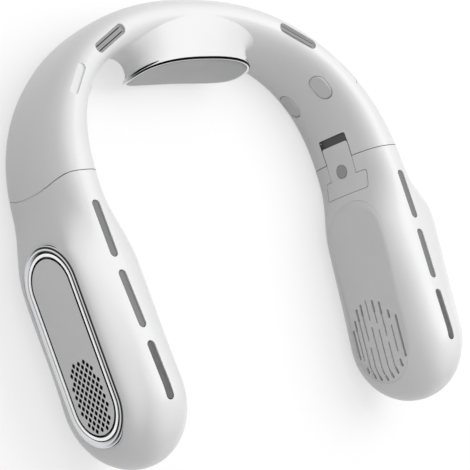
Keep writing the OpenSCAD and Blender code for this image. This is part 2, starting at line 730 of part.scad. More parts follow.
module slit(w, from, to) {
  translate([0, (from + to) / 2]) stadium(w, to - from);
}
module slits() {
  rotate(-panel_pitch) for (column = slit_shares) translate([column[0] * grille_r, 0])
    for (run = column[1]) slit(run[2] == 1 ? fine_slit_w : slit_w, run[0] * grille_r, run[1] * grille_r);
}
module right_arm_cover() {
  color("gainsboro") part_frame() difference() {
    intersection() {
      pod();
      cover_prism(-wall, 3.6 * wall);
    }
    at_cover(blower_at, cover_z) prism(-wall, 3.6 * wall) slits();
  }
}
module left_arm_cover() {
  other_side() right_arm_cover();
}
module right_arm_vents() {
  color("gray") part_frame() for (k = [0:2]) difference() {
    arm_slot(k, -slot_sink - vent_t, -slot_sink);
    on_crest(slot_u(k), 0) prism(-slot_sink - 2 * vent_t, 0) for (e = [-1, 1])
      translate([e * (arm_slot_w / 2 - 1.3 * frame_t), 0]) stadium(frame_t, arm_slot_len - arm_slot_w);
  }
}
module left_arm_vents() {
  other_side() right_arm_vents();
}
module right_hinge_leaf() {
  color("whitesmoke") part_frame() difference() {
    intersection() {
      leaf_skin(0, leaf_thick);
      leaf_outline(0, 0);
    }
    at_leaf_screw() prism(-leaf_thick * 0.45, wall) circle(r = leaf_plug_r);
    leaf_screw_cut(2 * wall);
  }
}
module left_hinge_leaf() {
  other_side() right_hinge_leaf();
}
module right_leaf_plug() {
  color("lightgray") part_frame() at_leaf_screw() prism(-leaf_thick * 0.45, slack) circle(r = leaf_plug_r);
}
module left_leaf_plug() {
  other_side() right_leaf_plug();
}
module right_leaf_screw() {
  color("silver") part_frame() at_leaf_screw() {
    prism(-leaf_thick, -leaf_thick * 0.45) circle(r = head_r);
    prism(-2 * wall, -leaf_thick) circle(r = shaft_r);
  }
}
module left_leaf_screw() {
  other_side() right_leaf_screw();
}
module right_hinge_arm() {
  y0 = -knuckle_r * 2.5;
  x0 = plan(y0)[0] - half_w(y0, wall) + 2 * slack;
  z0 = stack_z + lug_h + clear;
  color("silver") part_frame() difference() {
    union() {
      at_pin(z0) cylinder(r = knuckle_r, h = moving_h);
      translate([pin_x - web_t / 2, y0, z0]) cube([web_t, pin_y - y0, moving_h]);
      translate([x0, y0 - web_t / 2, z0]) cube([pin_x + web_t / 2 - x0, web_t, moving_h]);
    }
    at_pin(0) cylinder(r = pin_r + pin_play, h = reach_all);
  }
}
module left_hinge_arm() {
  other_side() right_hinge_arm();
}
module right_throat() {
  low = wall + clear;
  high = seam_height - wall - clear - crest_slope * spiral_r;
  mid = (low + high) / 2;
  rc = pin_x - half_span;
  steps = 12;
  color("dimgray") part_frame() difference() {
    at_pin(0) rotate([0, 0, 132]) rotate_extrude(angle = 50) polygon(concat(
      [for (t = fan(-90, 90, steps)) [rc + (seam_thick / 2 - low) * spow(cos(t), 2 / section_power),
        mid + (high - mid) * spow(sin(t), 2 / section_power)]],
      [for (t = fan(90, -90, steps)) [rc + (seam_thick / 2 - low - casing_wall) * spow(cos(t), 2 / section_power),
        mid + (high - mid - casing_wall) * spow(sin(t), 2 / section_power)]]));
    leaf_screw_cut(2 * wall);
  }
}
module left_throat() {
  other_side() right_throat();
}
module right_trim_ring() {
  color("silver") part_frame() at_panel() prism(-trim_depth, 0) difference() {
    stadium(trim_w, trim_len);
    stadium(inner_trim_w, inner_trim_len);
  }
}
module left_trim_ring() {
  other_side() right_trim_ring();
}
module at_cluster() {
  translate([0, (cluster_len - panel_len) / 2 + bezel_w]) children();
}
module trim_plate() {
  prism(-flange_z, -panel_thick) difference() {
    stadium(inner_trim_w, inner_trim_len);
    at_cluster() stadium(cluster_w, cluster_len);
  }
}
module button_places() {
  for (e = [-1, 1]) translate([0, button_y + e * button_pitch / 2]) children();
}
module right_trim_base() {
  color("black") part_frame() at_panel() {
    difference() {
      trim_plate();
      prism(-2 * flange_z, 0) button_places() circle(r = button_r + clear);
    }
    for (e = [-1, 1]) translate([e * post_x, button_y, 0]) prism(-board_z, -flange_z + slack) circle(r = pin_r);
  }
}
module left_trim_base() {
  color("black") other_side() part_frame() at_panel() trim_plate();
}
module right_bezel() {
  color("white") part_frame() at_panel() prism(-panel_thick, 0) difference() {
    stadium(bezel_out_w, bezel_out_len);
    stadium(bezel_out_w - 2 * bezel_w, bezel_out_len - 2 * bezel_w);
  }
}
module left_bezel() {
  other_side() right_bezel();
}
module holes() {
  middle = (len(hole_rows) - 1) / 2;
  px = (cluster_w - hole_w) / (2 * max(hole_rows) + 1);
  py = (cluster_len - hole_w) / len(hole_rows);
  for (i = [0:len(hole_rows) - 1], j = [-hole_rows[i]:2:hole_rows[i]])
    translate([j * px, (middle - i) * py]) rotate(45) square(hole_w, center = true);
}
module panel_plate() {
  difference() {
    stadium(panel_w, panel_len);
    at_cluster() holes();
  }
}
module right_outer_panel() {
  color("silver") part_frame() at_panel() prism(-panel_thick, -slack) difference() {
    panel_plate();
    button_places() circle(r = button_r + clear);
  }
}
module left_outer_panel() {
  color("silver") other_side() part_frame() at_panel() prism(-panel_thick, -slack) panel_plate();
}

// One control: a cap with a flange behind the panel
module button() {
  prism(-flange_z - slack - lug_h / 3.5, button_proud) circle(r = button_r);
  prism(-flange_z - slack - lug_h / 3.5, -flange_z - slack) circle(r = button_r + panel_thick / 2);
}
module power_button() {
  color("white") part_frame() at_panel() translate([0, button_y - button_pitch / 2, 0]) button();
}
module mode_button() {
  color("white") part_frame() at_panel() translate([0, button_y + button_pitch / 2, 0]) button();
}
module right_board() {
  color("darkgreen") part_frame() at_panel() translate([0, button_y, 0])
    prism(-board_z - board_t, -board_z) rounded(2 * post_x + 3 * pin_r, button_pitch + 4 * button_r, 1);
}
module right_switches() {
  color("dimgray") part_frame() at_panel() prism(-board_z, -switch_z) button_places()
    square(button_r * 1.2, center = true);
}
module right_charging_socket() {
  lip = wall / 6;
  color("silver") part_frame() at_socket() {
    difference() {
      prism(clear, socket_len) stadium(socket_t, socket_w);
      prism(0, socket_len - lip) stadium(socket_t - 2 * lip, socket_w - 2 * lip);
    }
    prism(3 * clear, socket_len - lip / 2) square([2 * lip, socket_w - socket_t], center = true);
  }
}

// Spiral casing: outline grown by g
function spiral(g) = concat([for (a = [80:15:380]) (spiral_r + g + volute_growth * (a - 80) / 300) * [cos(a), sin(a)]],
  [[(spiral_r + g + volute_growth) * cos(20), spiral_r + volute_growth + 2 * g],
   [(spiral_r + g) * cos(80) - 2 * g, spiral_r + volute_growth + 2 * g]]);
module spiral_outline() {
  polygon(spiral(casing_wall));
}
module right_blower_casing() {
  z1 = casing_z + casing_h;
  color("dimgray") part_frame() at_blower() {
    prism(casing_z + casing_wall, z1 - casing_wall) difference() {
      spiral_outline();
      polygon(spiral(0));
      translate([outlet_x0, spiral_r + volute_growth - casing_wall]) square([outlet_x1 - outlet_x0, 4 * casing_wall]);
    }
    prism(z1 - casing_wall, z1) difference() {
      spiral_outline();
      for (i = [0:11]) rotate(i * 30) translate([(inlet_r + hub_r) / 2, 0]) circle(d = inlet_r - hub_r);
    }
  }
}
module left_blower_casing() {
  other_side() right_blower_casing();
}
module right_casing_lid() {
  color("dimgray") part_frame() at_blower() prism(casing_z, casing_z + casing_wall) difference() {
    spiral_outline();
    circle(r = inlet_r);
  }
}
module left_casing_lid() {
  other_side() right_casing_lid();
}
module right_inlet_gasket() {
  color("black") part_frame() at_blower() prism(cover_thick + slack, casing_z) difference() {
    circle(r = inlet_r + casing_wall / 2);
    circle(r = inlet_r);
  }
}
module left_inlet_gasket() {
  other_side() right_inlet_gasket();
}
module right_motor() {
  color("goldenrod") part_frame() at_blower()
    prism(wheel_z + 2 * volute_gap, casing_z + casing_h - casing_wall) difference() {
      circle(r = hub_r - 1.5 * casing_wall);
      circle(r = shaft_r + pin_play);
    }
}
module left_motor() {
  other_side() right_motor();
}
function blade_point(s, e) = let (r = turn(wheel_r * 0.76, wheel_r - slack, s), a = 26 * s * s + e * 90 * blade_t / (PI * r))
  [r * cos(a), r * sin(a)];
module blade() {
  polygon(concat([for (s = [0:0.25:1]) blade_point(s, 1)], [for (s = [1:-0.25:0]) blade_point(s, -1)]));
}
module right_impeller() {
  z1 = wheel_z + wheel_h;
  hub_in = hub_r - casing_wall * 0.8;
  color("whitesmoke") part_frame() at_blower() {
    rotate_extrude() {
      translate([0, wheel_z]) square([hub_r, casing_wall]);
      translate([0, wheel_z]) square([shaft_r, wheel_h - casing_wall]);
      translate([hub_in, wheel_z]) square([hub_r - hub_in, wheel_h]);
      translate([hub_in, z1 - casing_wall]) square([wheel_r - hub_in, casing_wall]);
      translate([wheel_r - casing_wall, wheel_z]) square([casing_wall, casing_wall]);
    }
    prism(wheel_z + slack, z1 - casing_wall / 2) for (i = [0:blade_n - 1]) rotate(i * 360 / blade_n) blade();
  }
}
module left_impeller() {
  other_side() right_impeller();
}
module right_battery() {
  color("steelblue") part_frame() at_cover(cell_at, cover_z) prism(cell_z, cell_z + battery_t)
    rounded(battery_w, battery_len, 2);
}
module left_battery() {
  other_side() right_battery();
}
module right_battery_pad() {
  color("black") part_frame() at_cover(cell_at, cover_z) prism(cover_thick, cell_z)
    rounded(battery_w * 0.6, battery_w, 2);
}
module left_battery_pad() {
  other_side() right_battery_pad();
}

band_outer_shell();
band_inner_shell();
cooling_rim();
cooling_plate();
peltier_module();
heat_sink();
right_shoulder_vent();
left_shoulder_vent();
right_side_vent();
left_side_vent();
neck_pads();
hinge_pins();
right_hinge_bracket();
left_hinge_bracket();
right_arm_housing();
right_arm_cover();
right_arm_vents();
right_hinge_leaf();
right_leaf_plug();
right_leaf_screw();
right_hinge_arm();
right_throat();
right_trim_ring();
right_trim_base();
right_bezel();
right_outer_panel();
right_blower_casing();
right_casing_lid();
right_inlet_gasket();
right_motor();
right_impeller();
right_battery();
right_battery_pad();
left_arm_housing();
left_arm_cover();
left_arm_vents();
left_hinge_leaf();
left_leaf_plug();
left_leaf_screw();
left_hinge_arm();
left_throat();
left_trim_ring();
left_trim_base();
left_bezel();
left_outer_panel();
left_blower_casing();
left_casing_lid();
left_inlet_gasket();
left_motor();
left_impeller();
left_battery();
left_battery_pad();
right_board();
right_switches();
right_charging_socket();
power_button();
mode_button();
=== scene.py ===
"""Electric neck fan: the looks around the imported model."""
import json
import logging
import math
from dataclasses import dataclass, field
from enum import Enum
from functools import cached_property
from typing import Callable, Iterable, Optional, Sequence

import bmesh
import bpy
from mathutils import Matrix, Quaternion, Vector
from mathutils.bvhtree import BVHTree


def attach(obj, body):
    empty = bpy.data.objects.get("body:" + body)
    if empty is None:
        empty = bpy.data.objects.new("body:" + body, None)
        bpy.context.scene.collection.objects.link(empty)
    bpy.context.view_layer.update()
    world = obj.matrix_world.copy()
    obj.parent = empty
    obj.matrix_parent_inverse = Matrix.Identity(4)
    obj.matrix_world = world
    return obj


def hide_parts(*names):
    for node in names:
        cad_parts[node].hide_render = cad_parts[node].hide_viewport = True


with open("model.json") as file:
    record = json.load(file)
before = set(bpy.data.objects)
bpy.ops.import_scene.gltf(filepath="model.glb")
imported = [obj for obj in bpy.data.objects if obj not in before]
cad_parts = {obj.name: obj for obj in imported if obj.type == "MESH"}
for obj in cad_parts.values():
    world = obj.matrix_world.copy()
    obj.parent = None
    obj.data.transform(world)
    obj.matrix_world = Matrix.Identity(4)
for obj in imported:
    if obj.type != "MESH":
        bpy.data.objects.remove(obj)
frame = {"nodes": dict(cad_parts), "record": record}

LOG = logging.getLogger("neck_fan")
MM = 0.001
MERGE = 1e-7
TINY = 1e-30
# Attribute and near-black tone of the dark reflection bands painted on the plated rim and bead.
REFLECTION_MASK = "painted_reflection_mask"
REFLECTION_DARK_TONE = (0.004, 0.004, 0.004, 1.0)
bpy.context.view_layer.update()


class Slot(Enum):
    """Material slots of the record."""

    WHITE = "white_shell"
    PALE = "pale_cover"
    PANEL = "grey_panel"
    CHROME = "chrome_trim"
    BLACK = "black_trim"
    VENT = "dark_vent"
    COLD = "cold_plate"
    SINK = "sink_alloy"
    CERAMIC = "ceramic"
    PAD = "pad_rubber"
    FOAM = "dark_rubber"
    STEEL = "bright_steel"
    WHEEL = "impeller_white"
    BATTERY = "battery_wrap"
    MOTOR = "motor_can"
    BOARD = "circuit_green"
    BUTTON = "button_white"


class Side(Enum):
    """The two arms: +1 is the arm at +X."""

    RIGHT = 1
    LEFT = -1

    @property
    def word(self) -> str:
        """Prefix of the node names on this side."""
        return "right" if self is Side.RIGHT else "left"

    @property
    def arm(self) -> str:
        """Body that the pieces of this arm ride on."""
        return f"{self.word}_arm"


Point = tuple[float, float, float]
Colour = tuple[float, float, float]
Outline = list[tuple[float, float]]
Reference = tuple[BVHTree, list, list]


def linear(hex_code: str) -> Colour:
    """Turns a written colour into linear values, by the sRGB curve.

    Args:
        hex_code: Six hexadecimal digits, red first.

    Returns:
        Red, green and blue between 0 and 1.
    """
    parts = [int(hex_code[i:i + 2], 16) / 255 for i in (0, 2, 4)]
    return tuple(p / 12.92 if p <= 0.04045 else ((p + 0.055) / 1.055) ** 2.4 for p in parts)


def fill(node: bpy.types.Node, values: dict[str, object]) -> None:
    """Sets inputs of a node by their names."""
    for name, value in values.items():
        node.inputs[name].default_value = value


def compute(tree: bpy.types.NodeTree, operation: str, *values: object) -> bpy.types.NodeSocket:
    """Adds a math node.

    Args:
        tree: Tree that the node goes into.
        operation: Name of the operation.
        values: What goes into it, sockets or numbers.

    Returns:
        Its output.
    """
    node = tree.nodes.new("ShaderNodeMath")
    node.operation = operation
    for socket, value in zip(node.inputs, values):
        if isinstance(value, bpy.types.NodeSocket):
            tree.links.new(value, socket)
        else:
            socket.default_value = value
    return node.outputs["Value"]


class EffectLibrary:
    """Shader node groups that several finishes share."""

    def __init__(self) -> None:
        """Builds the groups once."""
        self.surface = self._surface_group()

    @staticmethod
    def _surface_group() -> bpy.types.ShaderNodeTree:
        """Fine grain, faint clouding and rubbed patches of a moulded or metal surface.

        Returns:
            The group, with colour, roughness and height outputs.
        """
        group = bpy.data.node_groups.new("surface_wear", "ShaderNodeTree")
        sockets = (("INPUT", "Color", ("Tone", "Shade")),
                   ("INPUT", "Float", ("Roughness", "Roughness Spread", "Grain Scale", "Cloud Scale",
                                       "Grain Height")),
                   ("INPUT", "Vector", ("Vector",)), ("OUTPUT", "Color", ("Color",)),
                   ("OUTPUT", "Float", ("Roughness", "Height")))
        for way, kind, names in sockets:
            for name in names:
                group.interface.new_socket(name, in_out=way, socket_type="NodeSocket" + kind)
        nodes, links = group.nodes, group.links
        given, sink = nodes.new("NodeGroupInput").outputs, nodes.new("NodeGroupOutput").inputs
        noises = []
        for scale, detail in (("Cloud Scale", 3.0), ("Grain Scale", 2.0)):
            noise = nodes.new("ShaderNodeTexNoise")
            noise.inputs["Detail"].default_value = detail
            links.new(given["Vector"], noise.inputs["Vector"])
            links.new(given[scale], noise.inputs["Scale"])
            noises.append(noise.outputs["Fac"])
        cloud, grain = noises
        mix = nodes.new("ShaderNodeMix")
        mix.data_type = "RGBA"
        links.new(cloud, mix.inputs["Factor"])
        links.new(given["Tone"], mix.inputs["A"])
        links.new(given["Shade"], mix.inputs["B"])
        links.new(mix.outputs["Result"], sink["Color"])
        spread = compute(group, "MULTIPLY_ADD", cloud, given["Roughness Spread"], given["Roughness"])
        links.new(spread, sink["Roughness"])
        links.new(compute(group, "MULTIPLY", grain, given["Grain Height"]), sink["Height"])
        return group


@dataclass(frozen=True)
class Finish:
    """One finish: its colours, gloss and grain, and whether a stored mask paints dark reflection bands on it.
    """

    slot: Slot
    tone: str
    shade: str
    roughness: float
    spread: float = 0.05
    metallic: float = 0.0
    coat: float = 0.0
    coat_roughness: float = 0.1
    grain: float = 2500.0
    cloud: float = 60.0
    bump: float = 0.15
    bump_depth: float = 0.00003
    specular: float = 0.5
    dark_reflection: bool = False

    def material(self, effects: EffectLibrary) -> bpy.types.Material:
        """Builds the material.

        Args:
            effects: The shared node groups.

        Returns:
            The finished material.
        """
        mat = bpy.data.materials.new(self.slot.value + "_finish")
        mat.use_nodes = True
        nodes, links = mat.node_tree.nodes, mat.node_tree.links
        shader = nodes["Principled BSDF"]
        fill(shader, {"Metallic": self.metallic, "Coat Weight": self.coat,
                      "Coat Roughness": self.coat_roughness, "Specular IOR Level": self.specular})
        place, wear = nodes.new("ShaderNodeTexCoord"), nodes.new("ShaderNodeGroup")
        wear.node_tree = effects.surface
        fill(wear, {"Tone": (*linear(self.tone), 1.0), "Shade": (*linear(self.shade), 1.0),
                    "Roughness": self.roughness - self.spread / 2, "Roughness Spread": self.spread,
                    "Grain Scale": self.grain, "Cloud Scale": self.cloud, "Grain Height": 1.0})
        links.new(place.outputs["Object"], wear.inputs["Vector"])
        links.new(wear.outputs["Color"], shader.inputs["Base Color"])
        links.new(wear.outputs["Roughness"], shader.inputs["Roughness"])
        # Painted reflection: the stored mask blends the base colour towards near-black, as if the plating
        # mirrored dark surroundings.
        if self.dark_reflection:
            bands, mix = nodes.new("ShaderNodeAttribute"), nodes.new("ShaderNodeMix")
            bands.attribute_name = REFLECTION_MASK
            mix.data_type = "RGBA"
            mix.inputs[7].default_value = REFLECTION_DARK_TONE
            links.new(bands.outputs["Fac"], mix.inputs[0])
            links.new(wear.outputs["Color"], mix.inputs[6])
            links.new(mix.outputs[2], shader.inputs["Base Color"])
        bump = nodes.new("ShaderNodeBump")
        fill(bump, {"Strength": self.bump, "Distance": self.bump_depth})
        links.new(wear.outputs["Height"], bump.inputs["Height"])
        links.new(bump.outputs["Normal"], shader.inputs["Normal"])
        return mat


# Near-black finish for side walls in narrow gaps: painted shadow.
SHADOW_LINE = Finish(Slot.BLACK, "1C1C1D", "161617", 0.7, specular=0.1)
BRIGHT_RING = Finish(Slot.WHITE, "FFFFFF", "FBFBFB", 0.24, metallic=0.9, bump=0.02)
SHOULDER_VENT = Finish(Slot.VENT, "A4A4A5", "949496", 0.5)
# Dark grey for the floor of the leaf's recess in the white band: painted shade.
RECESS_SHADE = Finish(Slot.VENT, "6E6E6F", "5C5C5D", 0.6)
PLUG_GREY = Finish(Slot.PALE, "BABABB", "ACACAD", 0.5)
# Darker copy of the vent finish for the slot plate nearest the tip: painted shade.
SHADED_VENT = Finish(Slot.VENT, "6A6A6B", "48484A", 0.5, cloud=400.0)
EXTRAS = (SHADOW_LINE, BRIGHT_RING, SHOULDER_VENT, RECESS_SHADE, PLUG_GREY, SHADED_VENT)

FINISHES = (
    Finish(Slot.WHITE, "F4F4F4", "EFEFF0", 0.34, coat=0.25, coat_roughness=0.18),
    Finish(Slot.PALE, "F4F4F4", "ECECED", 0.5, grain=4000.0, bump=0.3),
    Finish(Slot.PANEL, "FAFAFA", "F2F2F3", 0.5, grain=5000.0, bump=0.4),
    # Chrome carries painted dark reflection bands where a piece stores the mask.
    Finish(Slot.CHROME, "E2E3E5", "D6D7DA", 0.1, metallic=1.0, bump=0.02, dark_reflection=True),
    Finish(Slot.BLACK, "161618", "1F1F21", 0.3),
    Finish(Slot.VENT, "868687", "78787A", 0.5),
    Finish(Slot.COLD, "B8B8B9", "ABABAD", 0.42, metallic=0.35, grain=6000.0, bump=0.6),
    Finish(Slot.SINK, "B9BBBD", "A8AAAC", 0.35, metallic=1.0),
    Finish(Slot.CERAMIC, "E8E6DE", "DDDBD2", 0.6),
    Finish(Slot.PAD, "E6E6E7", "DCDCDD", 0.5, grain=3000.0, bump=0.3),
    Finish(Slot.FOAM, "222224", "2B2B2E", 0.85),
    Finish(Slot.STEEL, "B8BABC", "A6A8AA", 0.28, metallic=1.0),
    Finish(Slot.WHEEL, "D6D7D8", "C9CACB", 0.45),
    Finish(Slot.BATTERY, "3F6E9E", "38638F", 0.3),
    Finish(Slot.MOTOR, "9C9EA0", "8A8C8E", 0.3, metallic=1.0),
    Finish(Slot.BOARD, "1F5A3A", "194C31", 0.4),
    Finish(Slot.BUTTON, "EDEDEC", "E4E4E4", 0.35, coat=0.3),
)


def smooth(x: float) -> float:
    """Smooth step from 0 to 1."""
    c = max(0.0, min(1.0, x))
    return c * c * (3 - 2 * c)


def spow(x: float, p: float) -> float:
    """Power that keeps the sign."""
    return math.copysign(abs(x) ** p, x)


def turn(a: float, b: float, s: float) -> float:
    """Value at share s between a and b."""
    return a + (b - a) * s


@dataclass(frozen=True)
class TubeForm:
    """The fan's tube: plan curve and section, in millimetres, as the solids have them."""

    half_span: float = 89.0
    band_depth: float = 75.0
    plan_power: float = 2.25
    arm_reach: float = 107.5
    toe_in: float = 6.5
    power: float = 2.6
    back_thick: float = 16.0
    shoulder_thick: float = 16.5
    seam_thick: float = 23.5
    swell_thick: float = 38.0
    arm_thick: float = 34.5
    swell_at: float = 30.0
    settle: float = 40.0
    tip_len: float = 29.0
    seam_height: float = 44.5
    slope: float = 0.11
    foot: float = 0.6
    wall: float = 2.2
    face_tilt: float = math.radians(4.0)
    blower_at: float = 79.0
    cover_off: float = 15.5
    y_mid: float = 12.25
    panel_at: float = 57.0
    panel_off: float = 17.0
    panel_rise: float = 2.0
    panel_tilt: float = math.radians(5.7)
    panel_pitch: float = math.radians(2.6)
    trim_w: float = 32.6
    trim_len: float = 80.0
    trim_start: float = 17.0
    rise_w: float = 6.5
    rise_fade: float = 0.6
    slack: float = 0.1
    plan_step: float = 0.4
    corner_most: float = 168.0

    @cached_property
    def panel_frame(self) -> tuple[Vector, Vector, Vector, Vector]:
        """Middle of the outer panel in millimetres, and its three axes.

        Returns:
            The middle, then the directions down, along and out.
        """
        middle = Vector((self.plan(-self.panel_at).x + self.panel_off, -self.panel_at,
                         self.height(-self.panel_at) / 2 + self.panel_rise))
        tilt, pitch = self.panel_tilt, self.panel_pitch
        out = Vector((math.cos(tilt), -math.sin(tilt), 0))
        length = Vector((math.sin(tilt) * math.cos(pitch), math.cos(tilt) * math.cos(pitch),
                         -math.sin(pitch)))
        return middle, length.cross(out), length, out

    def on_panel(self, p: Vector) -> Vector:
        """Place of a point on the outer panel's plane."""
        middle, down, length, out = self.panel_frame
        r = p - middle
        return Vector((r.dot(down), r.dot(length), r.dot(out)))

    @property
    def straight(self) -> float:
        """Length of an arm up to its rounded tip."""
        return self.arm_reach - self.tip_len

    def plan(self, u: float) -> Vector:
        """Centreline of the tube.

        Args:
            u: Station, below 0 a distance along the arm, above 0 an angle in degrees.

        Returns:
            The point in the plan, in millimetres.
        """
        if u < 0:
            return Vector((self.half_span - self.toe_in * smooth(-u / self.arm_reach), u))
        a = math.radians(u)
        return Vector((self.half_span * spow(math.cos(a), 2 / self.plan_power),
                       self.band_depth * spow(math.sin(a), 2 / self.plan_power)))

    def outward(self, u: float) -> Vector:
        """Outward direction of the section at a station."""
        t = (self.plan(u + self.plan_step) - self.plan(u - self.plan_step)).normalized()
        return Vector((t.y, -t.x))

    def height(self, u: float) -> float:
        """Height of the upper edge."""
        return self.seam_height - self.slope * self.plan(u).y

    def thick(self, u: float) -> float:
        """Thickness of the tube at a station.

        Args:
            u: Station.

        Returns:
            The thickness in millimetres.
        """
        if u < 0:
            q = -u
            if q < self.swell_at:
                return turn(self.seam_thick, self.swell_thick, smooth(q / self.swell_at))
            return turn(self.swell_thick, self.arm_thick, smooth((q - self.swell_at) / self.settle))
        k = abs(u - 90) / 90
        if k < 0.5:
            return turn(self.back_thick, self.shoulder_thick, smooth(2 * k))
        return turn(self.shoulder_thick, self.seam_thick, smooth(2 * k - 1))

    def tip(self, u: float, d: float) -> float:
        """How far the section is drawn in at the rounded tip.

        Args:
            u: Station.
            d: Depth below the outer surface.

        Returns:
            1 before the tip, falling to 0 at its end.
        """
        if -u <= self.straight:
            return 1.0
        q = (-u - self.straight) / (self.tip_len - d)
        return math.sqrt(max(0.0, 1 - q * q))

    def half_w(self, u: float, d: float) -> float:
        """Half the width of the section at a depth."""
        return (self.thick(u) / 2 - d) * self.tip(u, d)

    def half_h(self, u: float, d: float) -> float:
        """Half the height of the section at a depth."""
        return ((self.height(u) + self.foot) / 2 - d) * self.tip(u, d)

    def mid_z(self, u: float) -> float:
        """Height of the middle of the section."""
        return (self.height(u) - self.foot) / 2

    @property
    def blower_x(self) -> float:
        """Place of the flat cover at the blower."""
        return self.plan(-self.blower_at).x - self.cover_off

    def face(self, u: float, d: float) -> float:
        """Distance from the centreline in to the flat cover."""
        c, n, k = self.plan(u), self.outward(u), math.tan(self.face_tilt)
        room = c.x - self.blower_x - k * (c.y + self.blower_at) - d / math.cos(self.face_tilt)
        return room / (n.x - k * n.y)

    def limit(self, u: float, d: float) -> float:
        """How far the section reaches inwards."""
        w = self.half_w(u, d)
        return min(w, self.face(u, d)) if u < 0 else w

    def corner(self, u: float, d: float) -> float:
        """Section angle at which the flat cover starts.

        Args:
            u: Station.
            d: Depth below the outer surface.

        Returns:
            The angle in degrees.
        """
        w = self.half_w(u, d)
        if w < 1e-6:
            return self.corner_most
        r = min(1.0, max(0.0, self.limit(u, d) / w))
        return min(self.corner_most, 180 - math.degrees(math.acos(r ** (self.power / 2))))

    def skin(self, u: float, d: float, t: float) -> Vector:
        """Point of the skin.

        Args:
            u: Station.
            d: Depth below the outer surface.
            t: Section angle in degrees, 0 outwards and 90 up.

        Returns:
            The point in metres, in the part's frame.
        """
        a = math.radians(t)
        c, n = self.plan(u), self.outward(u)
        off = max(-self.limit(u, d), self.half_w(u, d) * spow(math.cos(a), 2 / self.power))
        z = max(d, self.mid_z(u) + self.half_h(u, d) * spow(math.sin(a), 2 / self.power))
        p = Vector((c.x + n.x * off, c.y + n.y * off, z))
        if u < 0 and math.cos(a) > 0:
            p += self.panel_frame[3] * self.side_lift(u, d, self.on_panel(p)) * smooth(math.cos(a) * 2)
        return self.place(p.x, p.y, p.z)

    def side_lift(self, u: float, d: float, q: Vector) -> float:
        """How far the side of the arm is raised to meet the trim.

        Args:
            u: Station.
            d: Depth below the outer surface.
            q: Place on the panel's plane.

        Returns:
            The rise in millimetres, out of the panel's plane.
        """
        c, n, w = self.plan(u), self.outward(u), self.half_w(u, 0)
        widest = Vector((c.x + n.x * w, c.y + n.y * w, self.mid_z(u)))
        side = min(-self.slack, self.on_panel(widest).z)
        e = (self.trim_len - self.trim_w) / 2
        gap = math.hypot(q.x, max(0.0, (q.y - e) * self.rise_fade, -q.y - e)) - self.trim_w / 2
        return (max(0.0, side - d - q.z) * smooth(1 - gap / self.rise_w)
                * smooth((self.rise_w - q.x) / (2 * self.rise_w)) * smooth(-u / self.trim_start))

    def place(self, x: float, y: float, z: float) -> Vector:
        """Turns millimetres of the plan into metres of the part's frame."""
        return Vector((x, y + self.y_mid, z)) * MM

    def ring_angle(self, u: float, d: float, i: int, outer: int, face: int) -> float:
        """Section angle of a point, with a point on each edge of the flat cover.

        Args:
            u: Station.
            d: Depth below the outer surface.
            i: Number of the point.
            outer: Steps round the outer side.
            face: Steps across the flat cover.

        Returns:
            The angle in degrees.
        """
        c = self.corner(u, d)
        if i <= outer:
            return turn(-c, c, i / outer)
        return turn(c, 360 - c, (i - outer) / face)

    def heading(self, u: float) -> float:
        """Angle of the outward direction."""
        n = self.outward(u)
        return math.atan2(n.y, n.x)


TUBE = TubeForm()


